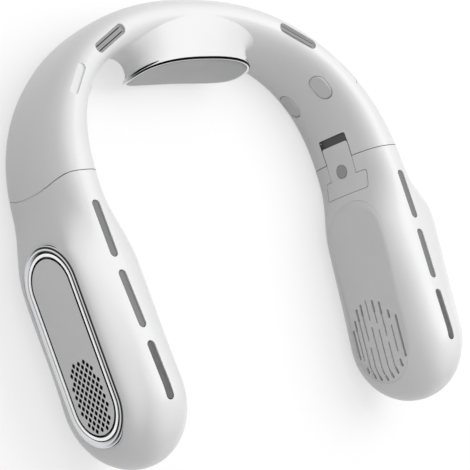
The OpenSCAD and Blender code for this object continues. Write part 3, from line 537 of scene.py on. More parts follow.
class Bench:
    """Tools for making and cutting meshes.

    FOLLOW is the angle in degrees, and NEAR the distance in metres, within which a face takes
    the uncut surface's normals.
    """

    FOLLOW = 28.0
    NEAR = 0.00006

    @staticmethod
    def grid(bm: bmesh.types.BMesh, nu: int, nv: int, place: Callable[[int, int], Vector],
             wrap: bool) -> list:
        """Adds a grid whose points are placed by a function.

        Args:
            bm: Mesh to add to.
            nu: Steps along.
            nv: Steps round.
            place: Gives the point for a step along and a step round.
            wrap: Whether the last step round is the first again.

        Returns:
            The new vertices, row by row.
        """
        made = bmesh.ops.create_grid(bm, x_segments=nv, y_segments=nu, size=1.0)["verts"]
        for k, vert in enumerate(made):
            i, j = divmod(k, nv + 1)
            vert.co = place(i, j % nv if wrap else j)
        return made

    @staticmethod
    def finish(bm: bmesh.types.BMesh, name: str) -> bpy.types.Object:
        """Merges doubles, turns faces outwards and makes an object.

        Args:
            bm: The mesh.
            name: Name of the piece.

        Returns:
            The new object.
        """
        bmesh.ops.remove_doubles(bm, verts=bm.verts, dist=MERGE)
        bmesh.ops.dissolve_degenerate(bm, edges=bm.edges, dist=MERGE)
        bmesh.ops.recalc_face_normals(bm, faces=bm.faces)
        return Bench.keep(bm, name)

    @staticmethod
    def keep(bm: bmesh.types.BMesh, name: str) -> bpy.types.Object:
        """Makes an object of a mesh as it is.

        Args:
            bm: The mesh, which is freed.
            name: Name of the piece.

        Returns:
            The new object, in the scene.
        """
        mesh = bpy.data.meshes.new(name)
        bm.to_mesh(mesh)
        bm.free()
        obj = bpy.data.objects.new(name, mesh)
        bpy.context.scene.collection.objects.link(obj)
        return obj

    @staticmethod
    def outline_prism(name: str, outlines: Iterable[Outline], low: float, high: float,
                      matrix: Matrix) -> bpy.types.Object:
        """Prisms over closed outlines.

        Args:
            name: Name of the object.
            outlines: Closed outlines in millimetres.
            low: Lower end in millimetres.
            high: Upper end in millimetres.
            matrix: Place of the outlines' plane.

        Returns:
            One object with all the prisms.
        """
        bm = bmesh.new()
        for outline in outlines:
            made = bmesh.ops.create_circle(bm, cap_ends=True, segments=len(outline),
                                           radius=1.0)["verts"]
            for vert, (x, y) in zip(made, outline):
                vert.co = matrix @ (Vector((x, y, low)) * MM)
            faces = list({f for v in made for f in v.link_faces})
            lift = bmesh.ops.extrude_face_region(bm, geom=faces)["geom"]
            rise = matrix.to_3x3() @ Vector((0, 0, (high - low) * MM))
            bmesh.ops.translate(bm, vec=rise,
                                verts=[g for g in lift if isinstance(g, bmesh.types.BMVert)])
        return Bench.finish(bm, name)

    @staticmethod
    def layered(name: str, outline: Callable[[float], Outline], profile: Outline,
                matrix: Matrix, ring: bool) -> bpy.types.Object:
        """Solid or ring whose outline shrinks along a profile.

        Args:
            name: Name of the piece.
            outline: Gives the outline for an inset in millimetres.
            profile: Insets and heights, from the lower outer edge up and inwards.
            matrix: Place of the outlines' plane.
            ring: Whether the profile closes on itself.

        Returns:
            The piece.
        """
        rows = [[matrix @ (Vector((x, y, z)) * MM) for x, y in outline(inset)] for inset, z in profile]
        if not ring:
            rows = [[sum(rows[0], Vector()) / len(rows[0])] * len(rows[0])] + rows
            rows += [[sum(rows[-1], Vector()) / len(rows[-1])] * len(rows[-1])]
        bm = bmesh.new()
        last = len(rows) if ring else len(rows) - 1
        Bench.grid(bm, last, len(rows[0]), lambda i, j: rows[i % len(rows)][j], True)
        return Bench.finish(bm, name)

    @staticmethod
    def cut(obj: bpy.types.Object, tools: Sequence[bpy.types.Object],
            operation: str = "DIFFERENCE") -> None:
        """Cuts an object with tools and removes the tools.

        Args:
            obj: The piece, which gets the new mesh.
            tools: Closed cutting objects.
            operation: Name of the boolean.
        """
        for tool in tools:
            mod = obj.modifiers.new("cut", "BOOLEAN")
            mod.operation = operation
            mod.solver = "EXACT"
            mod.object = tool
        graph = bpy.context.evaluated_depsgraph_get()
        mesh = bpy.data.meshes.new_from_object(obj.evaluated_get(graph))
        obj.modifiers.clear()
        old, obj.data = obj.data, mesh
        mesh.name = obj.name
        bpy.data.meshes.remove(old)
        for tool in tools:
            bpy.data.objects.remove(tool, do_unlink=True)

    @staticmethod
    def reference(*objects: bpy.types.Object) -> Reference:
        """Keeps uncut surfaces to shade the cut one by.

        Args:
            objects: The uncut objects.

        Returns:
            A search tree, the triangles' corners and the corners' normals.
        """
        bm = bmesh.new()
        for obj in objects:
            bm.from_mesh(obj.data)
        bm.normal_update()
        bmesh.ops.triangulate(bm, faces=bm.faces)
        tree = BVHTree.FromBMesh(bm)
        bm.faces.ensure_lookup_table()
        corners = [[v.co.copy() for v in f.verts] for f in bm.faces]
        normals = [[v.normal.copy() for v in f.verts] for f in bm.faces]
        bm.free()
        return tree, corners, normals

    @staticmethod
    def shade(obj: bpy.types.Object, reference: Optional[Reference] = None,
              edge: float = 32.0) -> None:
        """Shades smoothly, with the uncut surface's normals where the piece follows it.

        Args:
            obj: The piece.
            reference: What reference() gave for the uncut surface.
            edge: Angle in degrees past which an edge is sharp.
        """
        mesh = obj.data
        mesh.shade_smooth()
        mesh.set_sharp_from_angle(angle=math.radians(edge))
        if reference is None:
            return
        tree, corners, normals = reference
        limit = math.cos(math.radians(Bench.FOLLOW))
        seen: dict[int, Optional[Vector]] = {}
        base = [Vector(n.vector) for n in mesh.corner_normals]
        for poly in mesh.polygons:
            flat = poly.normal
            for loop in poly.loop_indices:
                vert = mesh.loops[loop].vertex_index
                if vert not in seen:
                    co = mesh.vertices[vert].co
                    spot, _, index, dist = tree.find_nearest(co)
                    seen[vert] = None
                    if index is not None and dist < Bench.NEAR:
                        seen[vert] = Bench.blend(spot, *corners[index], normals[index])
                normal = seen[vert]
                if normal is not None and normal.dot(flat) > limit:
                    base[loop] = normal
        mesh.normals_split_custom_set(base)

    @staticmethod
    def blend(spot: Vector, a: Vector, b: Vector, c: Vector, normals: Sequence[Vector]) -> Vector:
        """Normal inside a triangle.

        Args:
            spot: Point in the triangle.
            a: First corner.
            b: Second corner.
            c: Third corner.
            normals: Normals of the corners.

        Returns:
            The normal at the point.
        """
        v0, v1, v2 = b - a, c - a, spot - a
        d00, d01, d11 = v0.dot(v0), v0.dot(v1), v1.dot(v1)
        d20, d21 = v2.dot(v0), v2.dot(v1)
        low = d00 * d11 - d01 * d01
        if abs(low) < TINY:
            return normals[0].copy()
        v = (d11 * d20 - d01 * d21) / low
        w = (d00 * d21 - d01 * d20) / low
        return (normals[0] * (1 - v - w) + normals[1] * v + normals[2] * w).normalized()

    @staticmethod
    def mirrored(obj: bpy.types.Object, side: Side) -> bpy.types.Object:
        """Moves a right-hand piece to its side before it is shaded.

        Args:
            obj: The piece, built on the right.
            side: Its side.

        Returns:
            The same piece.
        """
        if side is Side.LEFT:
            bm = bmesh.new()
            bm.from_mesh(obj.data)
            bmesh.ops.scale(bm, vec=(-1, 1, 1), verts=bm.verts)
            bmesh.ops.reverse_faces(bm, faces=bm.faces)
            bm.to_mesh(obj.data)
            bm.free()
        return obj


def stadium(width: float, length: float, steps: int = 20, cx: float = 0.0,
            cy: float = 0.0) -> Outline:
    """Outline with straight sides along Y and round ends.

    Args:
        width: Width in millimetres.
        length: Length in millimetres.
        steps: Steps round each end.
        cx: Middle across.
        cy: Middle along.

    Returns:
        The outline.
    """
    r, h = width / 2, (length - width) / 2
    points = []
    for end, start in ((1, 0.0), (-1, math.pi)):
        for i in range(steps + 1):
            a = start + math.pi * i / steps
            points.append((cx + r * math.cos(a), cy + end * h + r * math.sin(a)))
    return points


def circle(radius: float, cx: float = 0.0, cy: float = 0.0, steps: int = 48) -> Outline:
    """Round outline."""
    turns = [math.tau * i / steps for i in range(steps)]
    return [(cx + radius * math.cos(a), cy + radius * math.sin(a)) for a in turns]


@dataclass
class Places:
    """Planes that the pieces of an arm are drawn on, as the solids have them."""

    tube: TubeForm = TUBE
    cover_at: float = 55.0
    cover_z: float = 24.8

    def _facing(self, tilt: float) -> Matrix:
        """Plane that looks outwards, turned by a tilt."""
        return Matrix.Rotation(-tilt, 4, "Z") @ Matrix.Rotation(math.pi / 2, 4, "Y")

    def cover(self, s: float) -> Matrix:
        """Plane of the inner cover at a distance along the arm."""
        t = self.tube
        x = t.blower_x + math.tan(t.face_tilt) * (t.blower_at - s)
        return Matrix.Translation(t.place(x, -s, self.cover_z)) @ self._facing(t.face_tilt)

    def panel(self) -> Matrix:
        """Plane of the outer panel.

        Returns:
            The plane, with Z out of the panel.
        """
        t = self.tube
        middle = t.panel_frame[0]
        return (Matrix.Translation(t.place(*middle)) @ self._facing(t.panel_tilt)
                @ Matrix.Rotation(-t.panel_pitch, 4, "Z"))

    def crest(self, u: float, off: float) -> Matrix:
        """Plane of the upper edge.

        Args:
            u: Station.
            off: Distance outwards of the centreline.

        Returns:
            The plane, with Y along the tube and Z up.
        """
        t = self.tube
        c, n = t.plan(u), t.outward(u)
        return (Matrix.Translation(t.place(c.x + n.x * off, c.y + n.y * off, t.height(u)))
                @ Matrix.Rotation(-math.atan(t.slope), 4, "X") @ Matrix.Rotation(t.heading(u), 4, "Z"))

    def wall(self, u: float, z: float) -> Matrix:
        """Plane on the inner wall.

        Args:
            u: Station.
            z: Height in millimetres.

        Returns:
            The plane, with Z out of the wall.
        """
        t = self.tube
        zr = (z - t.mid_z(u)) / t.half_h(u, 0)
        xr = (1 - abs(zr) ** t.power) ** (1 / t.power)
        off = -t.half_w(u, 0) * xr
        gx = -(xr ** (t.power - 1)) / t.half_w(u, 0)
        gz = spow(zr, t.power - 1) / t.half_h(u, 0)
        c, n = t.plan(u), t.outward(u)
        return (Matrix.Translation(t.place(c.x + n.x * off, c.y + n.y * off, z))
                @ Matrix.Rotation(t.heading(u), 4, "Z")
                @ Matrix.Rotation(math.atan2(gx, gz), 4, "Y"))

    def socket(self, s: float) -> Matrix:
        """Plane of the charging socket on the lower edge."""
        t = self.tube
        c = t.plan(-s)
        return Matrix.Translation(t.place(c.x, c.y, 0)) @ Matrix.Rotation(t.heading(-s), 4, "Z")

    def standing(self) -> Matrix:
        """Plane looking along X, for outlines drawn on the inner wall."""
        axes = Matrix(((0, 0, 1, 0), (1, 0, 0, 0), (0, 1, 0, 0), (0, 0, 0, 1)))
        return Matrix.Translation(self.tube.place(0, 0, 0)) @ axes


@dataclass
class Workshop:
    """What every sub-assembly needs: finishes, places and the frame."""

    materials: dict[Slot, bpy.types.Material]
    extras: dict[Finish, bpy.types.Material]
    places: Places = field(default_factory=Places)

    def paint_gap_shadow(self, obj: bpy.types.Object, up: Vector, limit: float = 0.35) -> None:
        """Gives the narrow side walls of a dressed plate a near-black finish: painted shadow in the gap.

        Args:
            obj: The piece.
            up: Direction out of the plate.
            limit: Share of the direction below which a face is a side wall.
        """
        obj.data.materials.append(self.extras[SHADOW_LINE])
        for poly in obj.data.polygons:
            if abs(poly.normal.dot(up)) < limit:
                poly.material_index = 1

    def dress(self, obj: bpy.types.Object, slot: Slot, body: str, *nodes: str) -> bpy.types.Object:
        """Gives a piece its finish and its body.

        Args:
            obj: The piece.
            slot: Its finish.
            body: The body that it rides on.
            nodes: CAD nodes that it stands for.

        Returns:
            The piece.
        """
        obj.data.materials.clear()
        obj.data.materials.append(self.materials[slot])
        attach(obj, body)
        if nodes:
            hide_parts(*nodes)
        LOG.info("%s rides on %s", obj.name, body)
        return obj


@dataclass
class SeamForm:
    """The joint between band and arm, round the hinge pin, in millimetres."""

    pin_inset: float = 6.5
    lap: float = 7.0
    seam_y: float = 7.4
    gap: float = 0.3
    far: float = 120.0
    steps: int = 48
    low: float = -5.0
    high: float = 70.0

    @property
    def pin(self) -> tuple[float, float]:
        """Place of the pin in the plan."""
        return TUBE.half_span + TUBE.seam_thick / 2 - self.pin_inset, self.seam_y - self.gap - self.lap

    def outline(self, grow: float) -> Outline:
        """Outline of the arm's side of the seam, in the plan.

        Args:
            grow: How far it is grown towards the band.

        Returns:
            The outline.
        """
        px, py = self.pin
        r, far = self.lap + grow, self.far
        turns = [math.pi * i / (2 * self.steps) for i in range(self.steps + 1)]
        arc = [(px + r * math.sin(a), py + r * math.cos(a)) for a in turns]
        corners = [(px + far / 3, py), (px + far / 3, py - far), (px - far / 2, py - far)]
        return [(px - far / 2, py + r)] + arc + corners

    def tool(self, grow: float) -> bpy.types.Object:
        """Cutting prism for one side of the seam."""
        return Bench.outline_prism("seam_tool", [self.outline(grow)[::-1]], self.low, self.high,
                                   Matrix.Translation(TUBE.place(0, 0, 0)))


SEAM = SeamForm()


@dataclass
class Slots:
    """Air outlets along the upper edge, in millimetres; stations of the band in degrees."""

    arm_len: float = 23.5
    arm_w: float = 3.7
    gap: float = 5.0
    start: float = 5.0
    count: int = 3
    back_turn: float = 54.6
    back_len: float = 21.0
    back_w: float = 4.6
    side_turn: float = 33.1
    side_len: float = 16.0
    side_w: float = 3.4
    side_off: float = 2.0
    cut: tuple[float, float] = (-5.0, 2.5)
    plate: tuple[float, float] = (-2.22, -0.9)
    slit_w: float = 0.4
    slit_short: float = 3.0
    slit_at: float = 1.05
    slit_cut: tuple[float, float] = (-4.0, 0.5)
    bend_turn: float = 6.0
    bend_steps: int = 12

    def arm_station(self, k: int) -> float:
        """Station of the middle of one of an arm's slots."""
        return -(self.start + self.arm_len / 2 + k * (self.arm_len + self.gap))

    def _opening(self, outline: Outline, plane: Matrix) -> bpy.types.Object:
        """Cutting prism for one slot."""
        return Bench.outline_prism("slot_tool", [outline], *self.cut, plane)

    def arm_tools(self, places: Places) -> list[bpy.types.Object]:
        """Cutting prisms for one arm."""
        shape = stadium(self.arm_w, self.arm_len)
        return [self._opening(shape, places.crest(self.arm_station(k), 0)) for k in range(self.count)]

    def _bent(self, width: float, length: float, off: float) -> Outline:
        """Outline of a slot that follows the shoulder, on the plane of its middle.

        Args:
            width: Width of the slot.
            length: Length of the slot.
            off: How far it lies outwards of the middle.

        Returns:
            The outline.
        """
        a, b, c = (TUBE.plan(self.back_turn + k) for k in (-self.bend_turn, 0, self.bend_turn))
        area = abs((b.x - a.x) * (c.y - a.y) - (b.y - a.y) * (c.x - a.x)) / 2
        r = (b - a).length * (c - b).length * (c - a).length / (4 * area)
        return [((r + x) * math.cos(y / r) - r, (r + x) * math.sin(y / r))
                for x, y in stadium(width, length, self.bend_steps, off)]

    def back_outline(self) -> Outline:
        """Outline of a shoulder slot."""
        return self._bent(self.back_w, self.back_len, 0.0)

    def back_vent(self, places: Places, side: Side) -> bpy.types.Object:
        """Plate of a shoulder slot, with two fine slits along it.

        Args:
            places: Where the planes lie.
            side: Its side.

        Returns:
            The plate, on its side.
        """
        plane = places.crest(self.back_turn, 0)
        plate = Bench.outline_prism(f"{side.word}_shoulder_plate", [self.back_outline()], *self.plate, plane)
        slits = [self._bent(self.slit_w, self.back_len - self.slit_short, x)
                 for x in (-self.slit_at, self.slit_at)]
        Bench.cut(plate, [Bench.outline_prism("slit_tool", slits, *self.slit_cut, plane)])
        return Bench.mirrored(plate, side)

    def band_tools(self, places: Places, side: Side) -> list[bpy.types.Object]:
        """Cutting prisms for one half of the band."""
        sites = ((self.back_outline(), self.back_turn, 0),
                 (stadium(self.side_w, self.side_len), self.side_turn, self.side_off))
        return [Bench.mirrored(self._opening(shape, places.crest(u, off)), side) for shape, u, off in sites]


@dataclass
class LeafForm:
    """T-shaped leaf on the inner wall at the hinge, in millimetres."""

    stem_w: float = 16.4
    wing_w: float = 26.0
    stem_len: float = 15.7
    wing_len: float = 8.6
    drop: float = 0.8
    thick: float = 1.2
    travel: float = 3.6
    mid_z: float = 22.25
    gap: float = 0.2
    plug_r: float = 3.0
    plug_turn: float = 1.026
    plug_gap: float = 0.28
    plug_share: float = 0.45
    screw_r: float = 1.9
    corner_r: float = 1.0
    corner_steps: int = 4
    lift: float = 0.03

    def _box(self, y0: float, y1: float, mid: float, half: float) -> Outline:
        """Rectangle with round corners.

        Args:
            y0: Lower end along.
            y1: Upper end along.
            mid: Middle across.
            half: Half the width across.

        Returns:
            The outline.
        """
        r, points = self.corner_r, []
        z0, z1 = mid - half, mid + half
        for cx, cy, start in ((y1 - r, z1 - r, 0), (y0 + r, z1 - r, 90), (y0 + r, z0 + r, 180),
                              (y1 - r, z0 + r, 270)):
            for i in range(self.corner_steps + 1):
                a = math.radians(start + 90 / self.corner_steps * i)
                points.append((cx + r * math.cos(a), cy + r * math.sin(a)))
        return points

    def outlines(self, grow: float, extra: float) -> list[Outline]:
        """Outlines of stem and crosspiece, in the plane of the inner wall.

        Args:
            grow: How far they are grown all round.
            extra: How much longer the stem is.

        Returns:
            The two outlines.
        """
        top = self.stem_len - self.drop + extra
        wing = -self.drop - self.wing_len
        return [self._box(-self.drop - self.wing_len / 2, top + grow, self.mid_z - self.drop,
                          self.stem_w / 2 + grow),
                self._box(wing - grow, -self.drop + grow, self.mid_z, self.wing_w / 2 + grow)]


LEAF = LeafForm()


@dataclass(frozen=True)
class HeadForm:
    """The cooling head: boss, rim and plate, in millimetres, as the solids have them."""

    width: float = 66.0
    height: float = 28.0
    power: float = 2.9
    mid_z: float = 19.0
    reach: float = 23.4
    dish: float = 1.4
    crown: float = 1.6
    lean: float = 1.2
    rim_w: float = 1.5
    rim_depth: float = 1.8
    plate_thick: float = 1.6
    waist: tuple[tuple[float, float, float], ...] = (
        (0.0, 1.004, 1.004), (0.1, 0.97, 0.95), (0.25, 0.95, 0.9), (0.45, 0.955, 0.88), (0.65, 1.0, 0.87),
        (0.82, 1.09, 0.86), (0.93, 1.19, 0.85), (1.0, 1.32, 0.85))
    top: tuple[float, float] = (1.004, 1.225)
    boss_depth: float = 0.75
    steps: int = 144
    boss_steps: int = 32
    wall_most: float = 0.97
    rim_steps: int = 12
    rim_round: float = 0.55
    rim_power: float = 0.7
    plate_gap: float = 0.16
    plate_rings: int = 14
    fold: tuple[tuple[float, float], ...] = ((0.3, 0.12), (0.1, 0.2), (0.0, 0.36))

    def face_y(self, x: float, z: float) -> float:
        """Distance back of the dished and crowned face."""
        p, q = 2 * x / self.width, 2 * (z - self.mid_z) / self.height
        return TUBE.band_depth - self.reach - self.dish * p * p + self.crown * q * q + self.lean * q

    @staticmethod
    def wall_y(x: float, z: float) -> float:
        """Distance back of the middle of the band's inner wall.

        Args:
            x: Place across in millimetres.
            z: Height in millimetres.

        Returns:
            The distance in millimetres.
        """
        q = min(HeadForm.wall_most, abs(z - TUBE.mid_z(90)) / TUBE.half_h(90, 0))
        h = TUBE.back_thick / 2 * (1 - q ** TUBE.power) ** (1 / TUBE.power) - TUBE.wall / 2
        share = (abs(x) / (TUBE.half_span - h)) ** TUBE.plan_power
        return (TUBE.band_depth - h) * (1 - share) ** (1 / TUBE.plan_power)

    def point(self, a: float, w: float, h: float, s: float, depth: float) -> Vector:
        """Point of an outline between the face and the wall.

        Args:
            a: Angle round the outline.
            w: Width of the outline.
            h: Height of the outline.
            s: 0 at the face, 1 at the wall.
            depth: Distance behind the face.

        Returns:
            The point in metres.
        """
        x = w / 2 * spow(math.cos(a), 2 / self.power)
        if s > 0 and math.sin(a) > 0:
            h *= turn(*self.top, s) / self.waist_at(s)[1]
        z = self.mid_z + h / 2 * spow(math.sin(a), 2 / self.power)
        f = self.face_y(x, z) + depth
        return TUBE.place(x, turn(f, max(f, self.wall_y(x, z)), s), z)

    def waist_at(self, s: float) -> tuple[float, float]:
        """Width and height shares of the boss, run smoothly through the table.

        Args:
            s: 0 at the face, 1 at the wall.

        Returns:
            The two shares.
        """
        table = self.waist
        k = max(i for i in range(len(table) - 1) if table[i][0] <= s)
        a, b = table[k], table[k + 1]
        before, after = table[max(0, k - 1)], table[min(len(table) - 1, k + 2)]
        span = b[0] - a[0]
        q = (s - a[0]) / span
        shares = []
        for c in (1, 2):
            m0 = (b[c] - before[c]) / (b[0] - before[0]) * span
            m1 = (after[c] - a[c]) / (after[0] - a[0]) * span
            shares.append((2 * q ** 3 - 3 * q * q + 1) * a[c] + (q ** 3 - 2 * q * q + q) * m0
                          + (3 * q * q - 2 * q ** 3) * b[c] + (q ** 3 - q * q) * m1)
        return shares[0], shares[1]

    def solid(self, name: str, rows: Sequence[tuple[float, float, float, float]],
              closed: bool) -> bpy.types.Object:
        """Solid through outlines.

        Args:
            name: Name of the piece.
            rows: Width, height, share and depth of each outline.
            closed: Whether the last outline joins the first again.

        Returns:
            The piece.
        """
        bm = bmesh.new()
        count, steps = len(rows), self.steps

        def at(i: int, j: int) -> Vector:
            w, h, share, depth = rows[i % count]
            return self.point(math.tau * j / steps, w, h, share, depth)

        Bench.grid(bm, count if closed else count - 1, steps, at, True)
        return Bench.finish(bm, name)

    def boss(self) -> bpy.types.Object:
        """Neck between the band and the rim, flared into the band.

        Returns:
            The solid, to be joined with the band.
        """
        first, last, deep = self.waist[0], self.waist[-1], self.boss_depth
        rows = [(self.width * first[1] * k, self.height * first[2] * k, 0.0, deep)
                for k in (0.02, 0.35, 0.7, 0.9)]
        for i in range(self.boss_steps + 1):
            share = i / self.boss_steps
            w, h = self.waist_at(share)
            rows.append((self.width * w, self.height * h, share, deep))
        rows += [(self.width * last[1] * k, self.height * last[2] * k, 1.0, deep)
                 for k in (0.7, 0.35, 0.02)]
        return self.solid("boss", rows, False)

    def rim(self) -> bpy.types.Object:
        """Plated rim with a rounded front, and a stored mask of painted dark reflection bands on its upper
        side.

        Returns:
            The rim.
        """
        rows = []
        for i in range(self.rim_steps + 1):
            a = math.pi * i / self.rim_steps
            inset = self.rim_w / 2 * (1 - math.cos(a))
            depth = self.rim_round * (1 - math.sin(a) ** self.rim_power)
            rows.append((self.width - 2 * inset, self.height - 2 * inset, 0.0, depth))
        rows.append((self.width - 2 * self.rim_w, self.height - 2 * self.rim_w, 0.0, self.rim_depth))
        rows.append((self.width, self.height, 0.0, self.rim_depth))
        piece = self.solid("cooling_rim_piece", rows, True)
        # Painted reflection: dark bands where the rim's upper outer side faces outwards.
        bands = piece.data.attributes.new(REFLECTION_MASK, "FLOAT", "POINT")
        for vert, item in zip(piece.data.vertices, bands.data):
            p, q = 2 * vert.co.x / MM / self.width, 2 * (vert.co.z / MM - self.mid_z) / self.height
            item.value = smooth((vert.normal.x * p + vert.normal.z * q - 0.1) * 2.5) * smooth(0.5 + 1.2 * q)
        return piece

    def plate(self) -> bpy.types.Object:
        """Dished plate with a small fold at its edge.

        Returns:
            The plate.
        """
        w = self.width - 2 * self.rim_w - self.plate_gap
        h = self.height - 2 * self.rim_w - self.plate_gap
        rings = [0.01] + [i / self.plate_rings for i in range(1, self.plate_rings)]
        front = [(w * k, h * k, 0.0, self.fold[0][1]) for k in rings]
        edge = [(w - inset, h - inset, 0.0, depth) for inset, depth in self.fold]
        back = [(w * k, h * k, 0.0, self.plate_thick) for k in (1.0, 0.6, 0.3, 0.01)]
        return self.solid("cooling_plate_piece", front + edge + back, False)


HEAD = HeadForm()


@dataclass(frozen=True)
class PadForm:
    """Oval neck pads on the band's inner wall, in millimetres; sites are station and height."""

    width: float = 8.0
    length: float = 12.0
    sites: tuple[tuple[float, float], ...] = ((34.2, 30.0), (32.3, 7.5))
    proud: float = 0.3
    gap: float = 0.34
    edge_z: float = -0.1
    edge_w: float = 0.7
    edge_h: float = 0.4
    edge_steps: int = 5

    def recess(self, places: Places) -> list[bpy.types.Object]:
        """Cutting prisms for one half of the band."""
        shape = stadium(self.width + 2 * self.gap, self.length + 2 * self.gap)
        return [Bench.outline_prism("pad_tool", [shape], -TUBE.wall / 2, 2.0, places.wall(u, z))
                for u, z in self.sites]

    def _outline(self, inset: float) -> Outline:
        """Outline of a pad, drawn in."""
        return stadium(self.width - 2 * inset, self.length - 2 * inset)

    def pads(self, places: Places, side: Side) -> list[bpy.types.Object]:
        """The two pads of one half.

        Args:
            places: Where the planes lie.
            side: Their side.

        Returns:
            The pads, on their side.
        """
        turns = [math.pi / 2 * i / self.edge_steps for i in range(1, self.edge_steps + 1)]
        profile = [(0.0, -TUBE.wall / 2), (0.0, self.edge_z)]
        profile += [(self.edge_w * (1 - math.cos(a)), self.edge_z + self.edge_h * math.sin(a)) for a in turns]
        profile += [(1.6, self.proud), (2.8, self.proud)]
        return [Bench.mirrored(Bench.layered(f"{side.word}_pad_{k}", self._outline, profile,
                                             places.wall(u, z), False), side)
                for k, (u, z) in enumerate(self.sites)]


PADS = PadForm()


@dataclass
class Band:
    """The rigid band with its slots and pads; the patch of painted shade on the floor of the leaf's recess in
    millimetres.
    """

    shop: Workshop
    slots: Slots = field(default_factory=Slots)
    stations: int = 150
    steps: int = 112
    recess_gap: float = 0.15
    recess_deep: float = 0.3
    floor_y: tuple[float, float] = (0.2, 19.2)
    floor_x: tuple[float, float] = (60, 92)
    floor_z: float = 21.45
    floor_half: float = 8.7
    floor_deep: float = 0.6

    def _tube(self) -> bpy.types.Object:
        """Closed tube with a wall, from arm to arm.

        Returns:
            The tube, uncut.
        """
        bm = bmesh.new()
        n = self.stations

        def at(i: int, j: int) -> Vector:
            inner = i > n
            k = i if not inner else 2 * n + 1 - i
            depth = TUBE.wall if inner else 0.0
            return TUBE.skin(180.0 * (1 - k / n), depth, 360.0 * j / self.steps)

        first = Bench.grid(bm, 2 * n + 1, self.steps, at, True)
        row = self.steps + 1
        edges_a = self._row_edges(first[:row])
        edges_b = self._row_edges(first[-row:])
        bmesh.ops.bridge_loops(bm, edges=edges_a + edges_b)
        return Bench.finish(bm, "band_shell")

    @staticmethod
    def _row_edges(verts: list) -> list:
        """Edges between neighbouring vertices of a row."""
        inside = set(verts)
        return list({e for v in verts for e in v.link_edges if e.other_vert(v) in inside})

    def build(self) -> None:
        """Builds the band's shell, the pads and the cooling head."""
        shell, boss = self._tube(), HEAD.boss()
        reference = Bench.reference(shell, boss)
        Bench.cut(shell, [boss], "UNION")
        tools = []
        for side in Side:
            tools += [Bench.mirrored(tool, side) for tool in PADS.recess(self.shop.places)]
            tools += self.slots.band_tools(self.shop.places, side)
            tools.append(Bench.mirrored(SEAM.tool(SEAM.gap), side))
            recess = LeafRecess.tool(self.recess_gap, LEAF.travel, LeafRecess.ABOVE,
                                     LEAF.thick + self.recess_deep)
            tools.append(Bench.mirrored(recess, side))
        Bench.cut(shell, tools)
        Bench.shade(shell, reference)
        self.shop.dress(shell, Slot.WHITE, "band", "band_outer_shell", "band_inner_shell")
        self._paint_recess_shade(shell, reference[0])
        for side in Side:
            vent = self.slots.back_vent(self.shop.places, side)
            Bench.shade(vent)
            self.shop.dress(vent, Slot.VENT, "band", f"{side.word}_shoulder_vent")
            vent.data.materials[0] = self.shop.extras[SHOULDER_VENT]
            for pad in PADS.pads(self.shop.places, side):
                Bench.shade(pad)
                self.shop.dress(pad, Slot.PAD, "band", "neck_pads")
        for piece, finish, node in ((HEAD.rim(), Slot.CHROME, "cooling_rim"),
                                    (HEAD.plate(), Slot.COLD, "cooling_plate")):
            Bench.shade(piece, edge=50.0)
            self.shop.dress(piece, finish, "band", node)

    def _paint_recess_shade(self, shell: bpy.types.Object, tree: BVHTree) -> None:
        """Paints shade on the floor of the leaf's recess with a dark grey finish.

        Args:
            shell: The dressed shell.
            tree: Search tree of the uncut surface.
        """
        shell.data.materials.append(self.shop.extras[RECESS_SHADE])
        low, high = (TUBE.place(0, y, 0).y for y in self.floor_y)
        near, far = self.floor_x
        for poly in shell.data.polygons:
            co = poly.center
            inside = (low < co.y < high and near * MM < abs(co.x) < far * MM
                      and abs(co.z - self.floor_z * MM) < self.floor_half * MM)
            if inside and tree.find_nearest(co)[3] > self.floor_deep * MM:
                poly.material_index = 1


class LeafRecess:
    """Solid between two depths of the wall under the hinge leaf's outline."""

    ABOVE = -1.0

    @staticmethod
    def skin(low: float, high: float) -> bpy.types.Object:
        """Patch of the inner wall between two depths.

        Args:
            low: Depth of its outer side in millimetres.
            high: Depth of its inner side.

        Returns:
            The patch.
        """
        bm = bmesh.new()
        stations = [20.0 - 0.8 * i for i in range(26)] + [-0.8 * i for i in range(1, 19)]
        steps = 40

        def at(depth: float) -> Callable[[int, int], Vector]:
            return lambda i, j: TUBE.skin(stations[i], depth, 130.0 + 100.0 * j / steps)

        n = len(stations) - 1
        for depth in (low, high):
            Bench.grid(bm, n, steps, at(depth), False)
        bmesh.ops.bridge_loops(bm, edges=[e for e in bm.edges if e.is_boundary])
        return Bench.finish(bm, "leaf_patch")

    @staticmethod
    def tool(grow: float, extra: float, low: float, high: float) -> bpy.types.Object:
        """The patch under the leaf's outline.

        Args:
            grow: How far the outline is grown.
            extra: How much longer the stem is.
            low: Depth of its outer side in millimetres.
            high: Depth of its inner side.

        Returns:
            The solid.
        """
        patch = LeafRecess.skin(low, high)
        prisms = [Bench.outline_prism("leaf_prism", [o], 60.0, 100.0, Places().standing())
                  for o in LEAF.outlines(grow, extra)]
        Bench.cut(prisms[0], prisms[1:], "UNION")
        Bench.cut(patch, prisms[:1], "INTERSECT")
        return patch


GRILLE = (
    (-0.65, ((-0.47, 0.5, False),)),
    (-0.465, ((-0.65, -0.455, False), (-0.305, 0.32, True), (0.465, 0.67, False))),
    (-0.265, ((-0.765, -0.6, False), (-0.605, -0.02, True), (0.115, 0.6, True), (0.595, 0.91, False))),
    (-0.075, ((-0.82, -0.67, False), (-0.675, 0.32, True), (0.455, 0.7, True), (0.695, 1.0, False))),
    (0.115, ((-0.84, -0.69, False), (-0.695, 0.425, True), (0.57, 1.05, True))),
    (0.295, ((-0.79, -0.64, False), (-0.645, -0.01, True), (0.13, 0.705, True), (0.7, 1.0, False))),
    (0.445, ((-0.71, -0.53, False), (-0.535, 0.625, True), (0.62, 0.93, False))),
    (0.575, ((-0.55, -0.395, False), (-0.25, 0.43, True), (0.425, 0.7, False))),
    (0.685, ((-0.2, 0.5, False),)),
)


